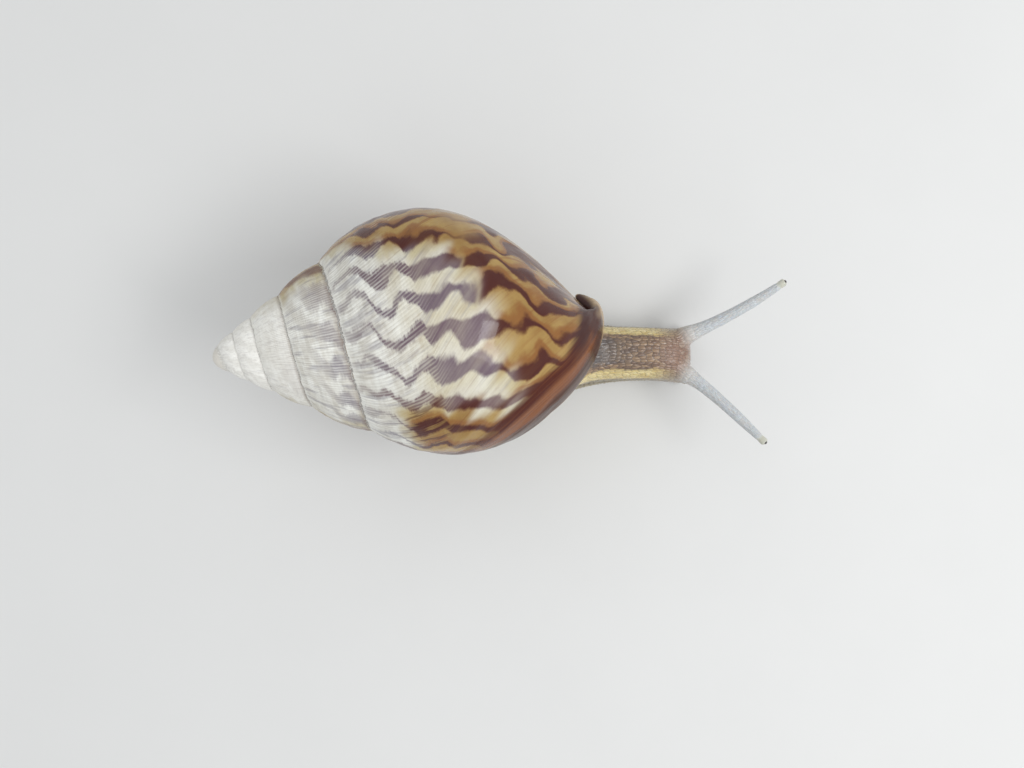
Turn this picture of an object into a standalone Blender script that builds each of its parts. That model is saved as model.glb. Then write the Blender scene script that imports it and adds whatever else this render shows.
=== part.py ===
"""Giant african land snail, crawling, built as a still life-size model.

Lengths are in metres in the scene and in millimetres in the functions below,
which are scaled once, when a mesh is made.  +X is towards the head, +Y is the
snail's left and +Z is up.  The sole lies on z = 0.
"""

import math

import bmesh
import bpy
import numpy as np
from mathutils import Matrix, Vector

MM = 0.001

# ---------------------------------------------------------------- shell
APEX = np.array([-44.5, 3.9, 29.0])   # tip of the spire
YAW = 8.8                             # axis turned to the left of straight ahead
DIP = 11.0                            # axis falling towards the head
TIP_RADIUS = 2.8                      # of the rounded tip
TIP_PART = 0.98                       # of that radius, up to which the tip is a ball
TIP_TURN = 1.2                        # turns from the tip over which the cone takes over
FIRST_SPREAD = (0.42, 1.25)           # how fast the first whorl opens: turns and power
TURNS = 5.125                         # whorls from the tip to the lip
FIRST_TURN = 0.25                     # the spiral seam starts this far from the tip
CAP_CENTRE = 0.35                     # middle of the cap inside it, off the axis
GROWTH = 1.524                        # widening per whorl
VIRTUAL_TIP = 2.0                     # the growth law starts this far behind the tip
SUTURE_ALONG = 23.25                  # where the suture meets the lip, along the axis
SUTURE_RADIUS = 15.55                 # and how far from the axis
SUTURE_AZIMUTH = 153.5                # 0 is the back, 90 the right, 180 the belly
WHORL_BULGE = 0.074                   # height of a whorl's bulge over its width
POLE_ALONG = 57.75                    # front end of the axis
EASE = 0.30                           # beyond the lip the seam widens a little less
EASE_LIMIT = -1.3
BASE_RIGHT = (0.495, 3.8, 0.545)      # fullness of the base on the right side
BASE_LEFT = (0.385, -10.9, 0.74)      # and on the left side
RIGHT_TURN = 0.30                     # where each of them holds, turns from the lip
LEFT_TURN = 0.55
DIVE_TURN = 0.80                      # from here the base turns into the mouth
DIVE_GUIDES = (0.10, 0.95, 0.15, 0.12)  # where its two guide points end, along and out
LIP_LAG_BAND = 0.075                  # the lip leans back by this part of a turn
LIP_LAG_POLE = 0.244
LIP_LAG_ROWS = 1.6                    # rows over which the band's lean eases in
LIP_LAG_POWER = 3.4
FLARE_FROM = 0.42                     # part of the base where the front lip flares
FLARE_TURN = 0.25                     # and how far back from the lip it reaches
# guide points of the flared lip, along, up and right of the axis
LIP_TANGENT = np.array([6.8, 1.4, -3.8])
LIP_NOSE = np.array([69.6, -2.7, 0.5])
LIP_HOOK = np.array([56.6, -3.2, -4.6])
LIP_END = np.array([57.35, -2.1, -1.6])
LIP_BEND = np.array([0.5, 2.2, 1.9])   # swing of the notch between lip and axis
BEND_FROM = 0.7                       # part of the base where that swing starts
LIP_THICK = 0.9
MOUTH_DEPTH_TURN = 0.085
MOUTH_REACH = 5.0
MOUTH_REACH_TURN = 0.4
MOUTH_DEEP = 0.5                      # part of the way in where the outer wall ends
MOUTH_OPEN_ROWS = 0.8                 # rows over which the mouth opens at the seam
MOUTH_CLOSE_ROWS = 0.14               # and closes at the pole
MOUTH_SHALLOW_FROM = 1.95             # rows over which it gets shallow near the pole
MOUTH_SHALLOW_ROWS = 0.35
MOUTH_EDGE_ROWS = 0.3                 # rows at the pole ruled along the lip's own edge
BODY_ROW = 1.1                        # row used to tell the outside from the inside
SLOPE_STEP = 1e-3                     # steps used to measure slopes, in turns and in rows
ROW_STEP = 0.02
COLLAR_FROM = 1.05                    # rows of the mouth that the collar fills
COLLAR_TO = 1.83
COLLAR_FRONT = 4                      # points across the collar's front
COLLAR_BULGE = 0.30                   # its bulge over its width
COLUMNS = 40                          # per whorl
BAND_ROWS = 4
BASE_ROWS = 13
BASE_CROWDING = 1.35                  # rows closer together towards the pole
MOUTH_ROWS = 10
CAP_LOOPS = (0.7, 0.35)               # sizes of the loops inside the rounded tip

# ---------------------------------------------------------------- soft body
GAP = 0.3                             # between the shell and the body
COLLAR_GAP = 0.5                      # between the shell and the mantle collar
CUT = 0.2                             # between two lengths of the body
# x, middle, sole half width, body half width, top, chin height, lean of the top to the left
STATIONS = np.array([
    (-37.5, 5.2, 0.5, 0.4, 0.9, 0.0, 0.0),
    (-30.0, 5.2, 3.6, 2.8, 3.2, 0.0, 0.0),
    (-20.0, 5.3, 7.4, 5.8, 7.0, 0.0, 0.0),
    (-9.0, 5.4, 9.3, 7.8, 15.5, 0.0, -3.5),
    (2.0, 5.5, 8.8, 7.8, 20.0, 0.0, -4.6),
    (10.0, 5.5, 7.2, 6.1, 15.5, 0.0, -1.8),
    (15.0, 5.45, 5.9, 5.15, 12.2, 0.0, 0.0),
    (21.0, 5.45, 5.1, 4.85, 11.4, 0.0, 0.0),
    (26.0, 5.35, 4.7, 4.8, 10.6, 0.3, 0.0),
    (29.2, 5.1, 4.2, 4.9, 9.6, 1.3, 0.0),
    (30.9, 5.0, 3.1, 4.0, 7.9, 2.8, 0.0),
    (31.5, 5.0, 1.7, 2.2, 6.4, 3.9, 0.0),
])
TAIL_END = -37.5
TAIL_CUT = -21.0
NECK_CUT = 14.5
HEAD_CUT = 25.5
HEAD_END = 31.5
SKIRT = 1.1                           # thickness of the rim of the sole
SKIRT_PART = 0.30                     # and at most this part of the body's height
SHOULDER = 1.8                        # where the flank starts, in skirt thicknesses
RIM_Y = (0.45, 0.88, 1.0, 0.96)       # points under and round the rim, in sole half widths
RIM_Z = (0.0, 0.0, 0.45, 1.0)         # and in skirt thicknesses
FLANK_POWERS = (0.72, 0.9)            # squareness of the flank and of the back
LEAN_FROM = 4.0                       # heights over which the lean comes in
LEAN_OVER = 10.0
RING_TOP = 8                          # facets from the flank to the top

# upper tentacles: four guide points of the middle line, left and right
HORN_LEFT = np.array([(27.6, 7.3, 6.5), (33.0, 9.5, 9.4), (39.6, 12.6, 11.4), (46.1, 17.4, 13.0)])
HORN_RIGHT = np.array([(27.6, 3.4, 6.5), (32.4, 0.9, 9.6), (37.2, -4.5, 11.3), (42.8, -10.1, 12.9)])
HORN_RADII = (
    (0.0, 1.5), (0.1, 1.85), (0.2, 1.6), (0.32, 1.18), (0.5, 1.0), (0.75, 0.86), (0.93, 0.64),
)
HORN_LENGTHS = (0.0, 0.42, 0.925)     # the two lengths of the stalk
STALK_GAP = 0.01                      # gaps between the lengths, along the guide curve
BULB_GAP = 0.012
BULB_RADIUS = 0.8
BULB_LONG = 0.85
BULB_FROM = 0.30                      # the bulb's two ends, in half turns of its arc
BULB_TO = 0.97
BULB_POWER = 0.8
EYE_BACK = 0.24                       # eye behind the bulb's tip and above its middle
EYE_UP = 0.26
EYE_RADIUS = 0.32
EYE_CLEAR = 0.03
BALL_END = 0.04                       # first ring of a ball, in half turns
SLIVER = 0.01                         # cut edges closer than this are merged
SWELL_LIMIT = 2.5                     # most a sharp corner moves out, in clearances

# lower tentacles
FEELER_LEFT = np.array([(28.6, 7.7, 3.6), (29.7, 8.4, 3.4), (30.7, 9.0, 2.7), (31.3, 9.4, 1.8)])
FEELER_RIGHT = np.array([(28.6, 2.4, 3.6), (29.7, 1.8, 3.4), (30.7, 1.2, 2.7), (31.3, 0.8, 1.8)])
FEELER_RADII = ((0.0, 0.9), (0.3, 1.0), (0.5, 0.85), (0.8, 0.72), (0.93, 0.85), (1.0, 0.8))

MOUTH_AT = (30.0, 5.1, 2.9)
MOUTH_RADII = (1.5, 1.6, 1.3)

COLOURS = {
    "shell": (0.62, 0.47, 0.22, 1.0),
    "collar": (0.62, 0.56, 0.38, 1.0),
    "skin": (0.33, 0.25, 0.16, 1.0),
    "tentacle": (0.42, 0.45, 0.47, 1.0),
    "eye": (0.02, 0.02, 0.02, 1.0),
}
ROUGHNESS = {"shell": 0.3, "collar": 0.35, "skin": 0.4, "tentacle": 0.4, "eye": 0.15}


# ---------------------------------------------------------------- numbers
def smooth(x):
    """Rises from 0 to 1 with level ends."""
    x = np.clip(x, 0.0, 1.0)
    return x * x * (3.0 - 2.0 * x)


def through(stations, x):
    """Smooth curve through stations given as rows of (x, values...)."""
    stations = np.asarray(stations, float)
    xs = stations[:, 0]
    ys = stations[:, 1:]
    slope = np.gradient(ys, xs, axis=0)
    step = np.diff(ys, axis=0)
    flat = np.zeros_like(slope, bool)
    flat[1:-1] = step[1:] * step[:-1] <= 0.0
    slope[flat] = 0.0
    i = np.clip(np.searchsorted(xs, x) - 1, 0, len(xs) - 2)
    h = (xs[i + 1] - xs[i])[:, None]
    t = np.clip((x - xs[i])[:, None] / h, 0.0, 1.0)
    a = (1 + 2 * t) * (1 - t) ** 2
    b = t * (1 - t) ** 2 * h
    c = t * t * (3 - 2 * t)
    d = t * t * (t - 1) * h
    return a * ys[i] + b * slope[i] + c * ys[i + 1] + d * slope[i + 1]


def bezier(points, t):
    """Smooth curve drawn by guide points, t an array from 0 to 1."""
    t = np.asarray(t, float)[..., None]
    n = len(points) - 1
    return sum(
        math.comb(n, k) * t ** k * (1 - t) ** (n - k) * np.asarray(p, float)
        for k, p in enumerate(points)
    )


# ---------------------------------------------------------------- shell surface
def shell_axes():
    """Unit vectors along the axis, up and to the right."""
    yaw = math.radians(YAW)
    dip = math.radians(DIP)
    along = np.array([
        math.cos(dip) * math.cos(yaw),
        math.cos(dip) * math.sin(yaw),
        -math.sin(dip),
    ])
    right = np.cross(along, [0.0, 0.0, 1.0])
    right /= np.linalg.norm(right)
    return along, np.cross(right, along), right


def to_world(local):
    """From (along, up, right) of the shell to x, y, z."""
    along, up, right = shell_axes()
    return APEX + local[..., :1] * along + local[..., 1:2] * up + local[..., 2:] * right


def dome(radius):
    """Distance along the axis on the rounded tip."""
    inside = np.minimum(radius, TIP_PART * TIP_RADIUS)
    return TIP_RADIUS - np.sqrt(TIP_RADIUS ** 2 - inside ** 2)


def suture(turn):
    """Distance along the axis and radius of the suture, turn counted back from the lip."""
    eased = np.where(turn < 0, turn * (1 + EASE * np.clip(turn, EASE_LIMIT, 0)), turn)
    age = np.clip(TURNS - turn, 0.0, None)
    opened = 1 - np.exp(-(age / FIRST_SPREAD[0]) ** FIRST_SPREAD[1])
    radius = SUTURE_RADIUS * GROWTH ** (-eased) * opened
    span = SUTURE_ALONG + VIRTUAL_TIP
    grown_up = smooth(age / TIP_TURN)
    along = (span * GROWTH ** (-turn) - VIRTUAL_TIP) * grown_up + dome(radius) * (1 - grown_up)
    return along, radius


def band(turn, v):
    """Bulging band between the suture and the next one."""
    s0, r0 = suture(turn)
    s1, r1 = suture(turn - 1)
    ds = s1 - s0
    dr = r1 - r0
    half = 2 * math.atan(2 * WHORL_BULGE)
    angle = half * (1 - 2 * v)
    forward = 0.5 * (1 - np.sin(angle) / math.sin(half))
    out = (np.cos(angle) - math.cos(half)) / (2 * math.sin(half))
    return s0 + forward * ds - out * dr, r0 + forward * dr + out * ds


def base(turn, w):
    """Rounded base from the band's edge to the pole, diving into the mouth at the end."""
    s0, r0 = suture(turn)
    s1, r1 = suture(turn - 1)
    slope = np.arctan2(r1 - r0, s1 - s0) - 2 * math.atan(2 * WHORL_BULGE)
    length = POLE_ALONG - s1
    side = smooth((turn - RIGHT_TURN) / (LEFT_TURN - RIGHT_TURN))
    reach, pole, width = [a + (b - a) * side for a, b in zip(BASE_RIGHT, BASE_LEFT)]
    first_s = s1 + reach * length * np.cos(slope)
    first_r = r1 + reach * length * np.sin(slope)
    second_s = POLE_ALONG + pole
    second_r = width * r1
    dive = smooth((turn - DIVE_TURN) / (1 - DIVE_TURN))
    near_s, near_r, far_s, far_r = DIVE_GUIDES
    first_s = first_s + (s1 + near_s * length - first_s) * dive
    first_r = first_r + (near_r * r1 - first_r) * dive
    second_s = second_s + (s1 + far_s * length - second_s) * dive
    second_r = second_r + (far_r * r1 - second_r) * dive
    k = [(1 - w) ** 3, 3 * w * (1 - w) ** 2, 3 * w * w * (1 - w), w ** 3]
    along = k[0] * s1 + k[1] * first_s + k[2] * second_s + k[3] * POLE_ALONG
    return along, k[0] * r1 + k[1] * first_r + k[2] * second_r


def lip_lag(q):
    """Part of a turn by which the lip lies behind the suture, q 0..1 band, 1..2 base."""
    early = LIP_LAG_BAND * smooth(q / LIP_LAG_ROWS) / smooth(1 / LIP_LAG_ROWS)
    late = 1 - (1 - np.clip(q - 1, 0, 1)) ** LIP_LAG_POWER
    return np.where(q <= 1, early, LIP_LAG_BAND + (LIP_LAG_POLE - LIP_LAG_BAND) * late)


def ring(along, radius, azimuth):
    """Local point from a distance along, a radius and an azimuth in degrees."""
    a = np.radians(azimuth)
    return np.stack([along, radius * np.cos(a), radius * np.sin(a)], -1)


def plain_whorl(u, q):
    """Last whorl without the flare: u 0 at the lip, 1 at the inner lip."""
    u, q = np.broadcast_arrays(np.asarray(u, float), np.asarray(q, float))
    lag = lip_lag(q)
    turn = lag + u * (1 - lag)
    s_band, r_band = band(turn, np.clip(q, 0, 1))
    s_base, r_base = base(turn, np.clip(q - 1, 0, 1))
    s = np.where(q <= 1, s_band, s_base)
    r = np.where(q <= 1, r_band, r_base)
    return ring(s, r, SUTURE_AZIMUTH - 360 * turn)


def last_whorl(u, q):
    """Last whorl with the front of the lip flared round the pole."""
    u, q = np.broadcast_arrays(np.asarray(u, float), np.asarray(q, float))
    points = plain_whorl(u, q)
    w = np.clip(q - 1, 0, 1)
    start = plain_whorl(np.zeros(1), np.array([1 + FLARE_FROM]))[0]
    t = np.clip((w - FLARE_FROM) / (1 - FLARE_FROM), 0, 1)
    lip = bezier([start, start + LIP_TANGENT, LIP_NOSE, LIP_HOOK, LIP_END], t)
    shift = lip - plain_whorl(np.zeros_like(w), 1 + w)
    weight = smooth(1 - u / FLARE_TURN) * (w > FLARE_FROM)
    part = np.clip(u / FLARE_TURN, 0, 1)
    bend = 4 * part * (1 - part) * smooth((w - BEND_FROM) / (1 - BEND_FROM))
    return points + weight[..., None] * shift + bend[..., None] * LIP_BEND


def outward(u, q):
    """Unit normals of the last whorl, pointing out."""
    e = SLOPE_STEP
    q = np.clip(q, e, 2 - 2 * e)
    du = last_whorl(u + e, q) - last_whorl(u, q)
    dq = last_whorl(u, q + e) - last_whorl(u, q - e)
    n = np.cross(du, dq)
    n /= np.maximum(np.linalg.norm(n, axis=-1, keepdims=True), 1e-9)
    row = np.full_like(q, BODY_ROW)
    at = last_whorl(u, row)
    across = np.cross(last_whorl(u + e, row) - at, last_whorl(u, row + e) - at)
    centre = np.array([0.5 * (SUTURE_ALONG + POLE_ALONG), 0.0, 0.0])
    return n * np.sign(np.sum(across * (at - centre), -1, keepdims=True))


def backwards(points):
    """Vectors round the axis into the mouth, shorter close to the axis."""
    n = np.stack([np.zeros_like(points[..., 0]), points[..., 2], -points[..., 1]], -1)
    radius = np.maximum(np.linalg.norm(n, axis=-1, keepdims=True), 1e-9)
    return n / radius * np.minimum(MOUTH_REACH, MOUTH_REACH_TURN * radius)


def mouth(f, q):
    """Inside of the mouth: f 0 at the lip's edge, 1 on the inner lip."""
    f, q = np.broadcast_arrays(np.asarray(f, float), np.asarray(q, float))
    window = smooth(q / MOUTH_OPEN_ROWS) * smooth((2 - q) / MOUTH_CLOSE_ROWS)
    depth = smooth((MOUTH_SHALLOW_FROM - q) / MOUTH_SHALLOW_ROWS)
    edge = 1.0 / MOUTH_ROWS
    u_wall = depth * MOUTH_DEPTH_TURN * np.clip((f - edge) / (MOUTH_DEEP - edge), 0, 1)
    wall = last_whorl(u_wall, q) - outward(u_wall, q) * LIP_THICK * smooth(f / edge)[..., None]
    end_u = depth * MOUTH_DEPTH_TURN
    end = last_whorl(end_u, q) - outward(end_u, q) * LIP_THICK
    inner = plain_whorl(np.ones_like(q), np.clip(q, 1, 2))
    t = np.clip((f - MOUTH_DEEP) / (1 - MOUTH_DEEP), 0, 1)[..., None]
    a = end + backwards(end) * depth[..., None]
    b = inner + backwards(inner) * depth[..., None]
    floor = (1 - t) ** 3 * end + 3 * t * (1 - t) ** 2 * a + 3 * t * t * (1 - t) * b + t ** 3 * inner
    full = np.where((f <= MOUTH_DEEP)[..., None], wall, floor)
    lip = last_whorl(np.zeros_like(q), q)
    ruled = lip + (inner - lip) * f[..., None]
    path = last_whorl(FLARE_TURN * f, np.full_like(q, 2.0))
    side = smooth((q - (2 - MOUTH_EDGE_ROWS)) / MOUTH_EDGE_ROWS)[..., None]
    ruled = ruled + (path - ruled) * side
    return ruled + (full - ruled) * window[..., None]


# ---------------------------------------------------------------- meshes
def turn_outward(bm):
    """Make all faces of a closed mesh point out."""
    bmesh.ops.recalc_face_normals(bm, faces=bm.faces)
    if bm.calc_volume(signed=True) < 0:
        bmesh.ops.reverse_faces(bm, faces=bm.faces)


def closed_mesh(name, verts, faces, collection, material):
    """Object in metres from points in millimetres, faces turned outward."""
    mesh = bpy.data.meshes.new(name)
    mesh.from_pydata([tuple(v * MM) for v in verts], [], faces)
    bm = bmesh.new()
    bm.from_mesh(mesh)
    bmesh.ops.remove_doubles(bm, verts=bm.verts, dist=1e-6)
    bmesh.ops.dissolve_degenerate(bm, edges=bm.edges, dist=1e-6)
    bmesh.ops.triangulate(bm, faces=[f for f in bm.faces if len(f.verts) > 4])
    turn_outward(bm)
    bm.to_mesh(mesh)
    bm.free()
    obj = bpy.data.objects.new(name, mesh)
    collection.objects.link(obj)
    if material is not None:
        mesh.materials.append(material)
    mesh.shade_smooth()
    return obj


def whorl_rows():
    """Rows of the last whorl after the suture."""
    w = 1 - (1 - np.arange(1, BASE_ROWS + 1) / BASE_ROWS) ** BASE_CROWDING
    return np.concatenate([np.arange(1, BAND_ROWS + 1) / BAND_ROWS, 1 + w])


def shell_mesh():
    """Vertices and faces of the shell, the mouth closed by its own inside."""
    steps = int(round((TURNS - FIRST_TURN) * COLUMNS))
    rows = BAND_ROWS + BASE_ROWS
    verts = []
    faces = []

    def add(points):
        first = len(verts)
        verts.extend(points)
        return list(range(first, first + len(points)))

    turn = np.arange(steps + 1) / COLUMNS
    s, r = suture(turn)
    seam = add(to_world(ring(s, r, SUTURE_AZIMUTH - 360 * turn)))
    v = np.arange(1, BAND_ROWS) / BAND_ROWS
    spire = {}
    for j in range(COLUMNS, steps + 1):
        s, r = band(turn[j], v)
        inner = add(to_world(ring(s, r, np.full(len(v), SUTURE_AZIMUTH - 360 * turn[j]))))
        spire[j] = [seam[j]] + inner + [seam[j - COLUMNS]]
    for j in range(COLUMNS, steps):
        for i in range(BAND_ROWS):
            faces.append((spire[j][i], spire[j + 1][i], spire[j + 1][i + 1], spire[j][i + 1]))

    q = whorl_rows()
    flare_columns = MOUTH_ROWS
    pole = add(to_world(plain_whorl(np.ones(1), np.full(1, 2.0))))[0]
    whorl = []
    for j in range(COLUMNS + 1):
        if j == COLUMNS:
            lower = add(to_world(last_whorl(np.ones(BASE_ROWS - 1), q[BAND_ROWS:-1])))
            column = spire[COLUMNS][:BAND_ROWS] + [seam[0]] + lower + [pole]
        else:
            points = to_world(last_whorl(np.full(rows, j / COLUMNS), q))
            if j < flare_columns:
                column = [seam[j]] + add(points)
            else:
                column = [seam[j]] + add(points[:-1]) + [pole]
        whorl.append(column)
    for j in range(COLUMNS):
        for i in range(rows):
            loop = (whorl[j][i], whorl[j + 1][i], whorl[j + 1][i + 1], whorl[j][i + 1])
            faces.append(tuple(dict.fromkeys(loop)))

    # domed cap inside the first whorl
    rim = [seam[j] for j in range(steps, steps - COLUMNS - 1, -1)]
    rim += spire[steps][BAND_ROWS - 1:0:-1]
    edge = (np.array([verts[i] for i in rim]) - APEX) @ np.array(shell_axes()).T
    middle = ring(0.0, CAP_CENTRE, SUTURE_AZIMUTH - 360 * turn[steps] - 90)
    rise = edge[:, 0] - dome(np.hypot(edge[:, 1], edge[:, 2]))
    loops = [rim]
    for f in CAP_LOOPS:
        inner = middle + (edge - middle) * f
        inner[:, 0] = dome(np.hypot(inner[:, 1], inner[:, 2])) + rise * f * f
        loops.append(add(to_world(inner)))
    middle[0] = dome(CAP_CENTRE)
    centre = add([to_world(middle)])[0]
    for i in range(len(rim)):
        n = (i + 1) % len(rim)
        for outer, inner in zip(loops[:-1], loops[1:]):
            faces.append((outer[i], outer[n], inner[n], inner[i]))
        faces.append((loops[-1][i], loops[-1][n], centre))

    # inside of the mouth
    q_all = np.concatenate([[0.0], q])
    grid = [whorl[0]]
    for k in range(1, MOUTH_ROWS):
        points = to_world(mouth(np.full(rows + 1, k / MOUTH_ROWS), q_all))
        grid.append([seam[0]] + add(points[1:-1]) + [whorl[k][rows]])
    inner = [seam[0]] * (BAND_ROWS + 1) + whorl[COLUMNS][BAND_ROWS + 1:]
    grid.append(inner)
    for k in range(MOUTH_ROWS):
        for i in range(rows):
            a, b = grid[k][i], grid[k][i + 1]
            c, d = grid[k + 1][i + 1], grid[k + 1][i]
            for loop in ((a, b, d), (b, c, d)):
                if len(set(loop)) == 3:
                    faces.append(loop)
    return verts, faces


def loft(rings):
    """Vertices and faces through a row of closed rings of equal count, both ends closed."""
    count = len(rings[0])
    verts = [p for points in rings for p in points]
    faces = []
    for a in range(len(rings) - 1):
        for b in range(count):
            c = (b + 1) % count
            first = a * count
            second = first + count
            faces.append((first + b, first + c, second + c, second + b))
    faces.append(tuple(range(count)))
    faces.append(tuple(range(len(verts) - count, len(verts))))
    return verts, faces


def collar_mesh():
    """Mantle collar filling the mouth behind the lip, an even gap from the shell."""
    rows = [q for q in whorl_rows() if COLLAR_FROM < q < COLLAR_TO]
    back = np.arange(2, MOUTH_ROWS) / MOUTH_ROWS
    rings = []
    for q in rows:
        qs = np.full(len(back), q)
        points = to_world(mouth(back, qs))
        tangent = np.gradient(points, axis=0)
        across = to_world(mouth(back, qs + ROW_STEP)) - to_world(mouth(back, qs - ROW_STEP))
        normal = np.cross(tangent, across)
        normal /= np.linalg.norm(normal, axis=1, keepdims=True)
        edges = to_world(mouth(np.array([1.0 / MOUTH_ROWS, 1.0]), np.array([q, q])))
        open_side = edges.mean(axis=0)
        flip = np.sign(np.sum(normal * (open_side - points), axis=1, keepdims=True))
        points = points + normal * flip * COLLAR_GAP
        toward = open_side - points[len(points) // 2]
        toward /= np.linalg.norm(toward)
        first = points[-1]
        last = points[0]
        t = np.linspace(0, 1, COLLAR_FRONT + 2)[1:-1]
        push = COLLAR_BULGE * np.linalg.norm(last - first)
        front = bezier([first, first + toward * push, last + toward * push, last], t)
        rings.append(np.concatenate([points, front]))
    return loft(rings)


def body_ring(x):
    """Cross-section of the soft body: flat sole, thin rim, rounded flanks and back."""
    middle, sole, half, top, chin, lean = through(STATIONS, np.array([x]))[0]
    rim = min(SKIRT, SKIRT_PART * (top - chin))
    shoulder = chin + SHOULDER * rim
    angle = np.linspace(0, math.pi / 2, RING_TOP)[:-1]
    flank_y = half * np.cos(angle) ** FLANK_POWERS[0]
    flank_z = shoulder + (top - shoulder) * np.sin(angle) ** FLANK_POWERS[1]
    y = np.concatenate([sole * np.array(RIM_Y), flank_y])
    z = np.concatenate([chin + rim * np.array(RIM_Z), flank_z])
    ys = np.concatenate([y, [0.0], -y[::-1], [0.0]])
    zs = np.concatenate([z, [top], z[::-1], [chin]])
    tilt = lean * smooth((zs - LEAN_FROM) / LEAN_OVER)
    return np.stack([np.full(len(ys), x), middle + ys + tilt, zs], -1)


def body_length(start, end, steps):
    """One length of the soft body between two cuts."""
    return loft([body_ring(x) for x in np.linspace(start, end, steps)])


def frames(centres):
    """Two unit vectors square to a path at each of its points."""
    tangent = np.gradient(centres, axis=0)
    tangent /= np.linalg.norm(tangent, axis=1, keepdims=True)
    side = np.cross(tangent, [0.0, 0.0, 1.0])
    side /= np.linalg.norm(side, axis=1, keepdims=True)
    return side, np.cross(side, tangent)


def stalk(guide, radii, start, end, steps, facets=12):
    """Round tapering length along a guide curve."""
    t = np.linspace(start, end, steps)
    centres = bezier(guide, t)
    side, up = frames(centres)
    radius = through(radii, t)[:, 0]
    angle = np.arange(facets) * 2 * math.pi / facets
    rings = []
    for c, s, n, r in zip(centres, side, up, radius):
        rings.append(c + r * (np.cos(angle)[:, None] * s + np.sin(angle)[:, None] * n))
    return loft(rings)


def bulb(guide, facets=14, rows=9):
    """Rounded tip of an upper tentacle, its middle on the end of the guide curve."""
    start = HORN_LENGTHS[-1] + BULB_GAP
    at = bezier(guide, np.array([start, start + STALK_GAP]))
    forward = at[1] - at[0]
    forward /= np.linalg.norm(forward)
    side = np.cross(forward, [0.0, 0.0, 1.0])
    side /= np.linalg.norm(side)
    up = np.cross(side, forward)
    angle = np.arange(facets) * 2 * math.pi / facets
    back = math.cos(math.pi * BULB_FROM)
    rings = []
    for p in np.linspace(BULB_FROM, BULB_TO, rows):
        r = BULB_RADIUS * math.sin(math.pi * p) ** BULB_POWER
        c = at[0] + forward * BULB_LONG * (back - math.cos(math.pi * p))
        rings.append(c + r * (np.cos(angle)[:, None] * side + np.sin(angle)[:, None] * up))
    tip = at[0] + forward * BULB_LONG * (back + 1.0)
    return loft(rings), tip - forward * EYE_BACK + up * EYE_UP


def ball(centre, radii, facets=16, rows=10):
    """Closed ellipsoid."""
    angle = np.arange(facets) * 2 * math.pi / facets
    rings = []
    for p in np.linspace(BALL_END, 1 - BALL_END, rows) * math.pi:
        ring_y = radii[1] * math.sin(p) * np.cos(angle)
        ring_z = radii[2] * math.sin(p) * np.sin(angle)
        x = np.full(facets, radii[0] * math.cos(p))
        rings.append(np.stack([x, ring_y, ring_z], -1) + np.asarray(centre))
    return loft(rings)


# ---------------------------------------------------------------- scene
def clear():
    """Empty the scene."""
    for obj in list(bpy.data.objects):
        bpy.data.objects.remove(obj, do_unlink=True)
    for coll in list(bpy.data.collections):
        bpy.data.collections.remove(coll)


def material(name, key):
    """Own material of one part."""
    mat = bpy.data.materials.new(name)
    mat.use_nodes = True
    shader = mat.node_tree.nodes["Principled BSDF"]
    shader.inputs["Base Color"].default_value = COLOURS[key]
    shader.inputs["Roughness"].default_value = ROUGHNESS[key]
    mat.diffuse_color = COLOURS[key]
    return mat


def grown(obj, by, name, collection):
    """Copy of a part swelled by a clearance, kept as a cutter."""
    mesh = obj.data.copy()
    bm = bmesh.new()
    bm.from_mesh(mesh)
    bm.normal_update()
    moves = [
        v.co + v.normal * (by * MM * min(v.calc_shell_factor(), SWELL_LIMIT)) for v in bm.verts
    ]
    for v, co in zip(bm.verts, moves):
        v.co = co
    bm.to_mesh(mesh)
    bm.free()
    cutter = bpy.data.objects.new(name, mesh)
    collection.objects.link(cutter)
    cutter.hide_render = True
    cutter.display_type = "WIRE"
    return cutter


def cut(obj, cutter):
    """Take a cutter away from a part."""
    mod = obj.modifiers.new("cut_" + cutter.name, "BOOLEAN")
    mod.operation = "DIFFERENCE"
    mod.solver = "EXACT"
    mod.object = cutter


def settle(obj):
    """Apply a part's cuts and clear the slivers along their edges."""
    graph = bpy.context.evaluated_depsgraph_get()
    mesh = bpy.data.meshes.new_from_object(obj.evaluated_get(graph))
    obj.modifiers.clear()
    bm = bmesh.new()
    bm.from_mesh(mesh)
    bmesh.ops.remove_doubles(bm, verts=bm.verts, dist=SLIVER * MM)
    bmesh.ops.dissolve_degenerate(bm, edges=bm.edges, dist=SLIVER * MM)
    bmesh.ops.triangulate(bm, faces=bm.faces)
    seen = {}
    for face in bm.faces:
        seen.setdefault(frozenset(v.index for v in face.verts), []).append(face)
    doubled = [f for faces in seen.values() if len(faces) > 1 for f in faces]
    bmesh.ops.delete(bm, geom=doubled, context="FACES")
    turn_outward(bm)
    bm.to_mesh(mesh)
    bm.free()
    obj.data = mesh
    mesh.shade_smooth()


def set_origin(obj, point):
    """Put a part's origin at a point given in millimetres."""
    offset = Vector([c * MM for c in point])
    obj.data.transform(Matrix.Translation(-offset))
    obj.location = offset


def centre_on_floor(parts, others):
    """Move everything so that the origin is the middle of the outline, on the floor."""
    bpy.context.view_layer.update()
    corners = np.array([obj.matrix_world @ v.co for obj in parts for v in obj.data.vertices])
    low = corners.min(axis=0)
    high = corners.max(axis=0)
    move = Vector((0.5 * (low[0] + high[0]), 0.5 * (low[1] + high[1]), low[2]))
    for obj in list(parts) + list(others):
        obj.location -= move


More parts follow.
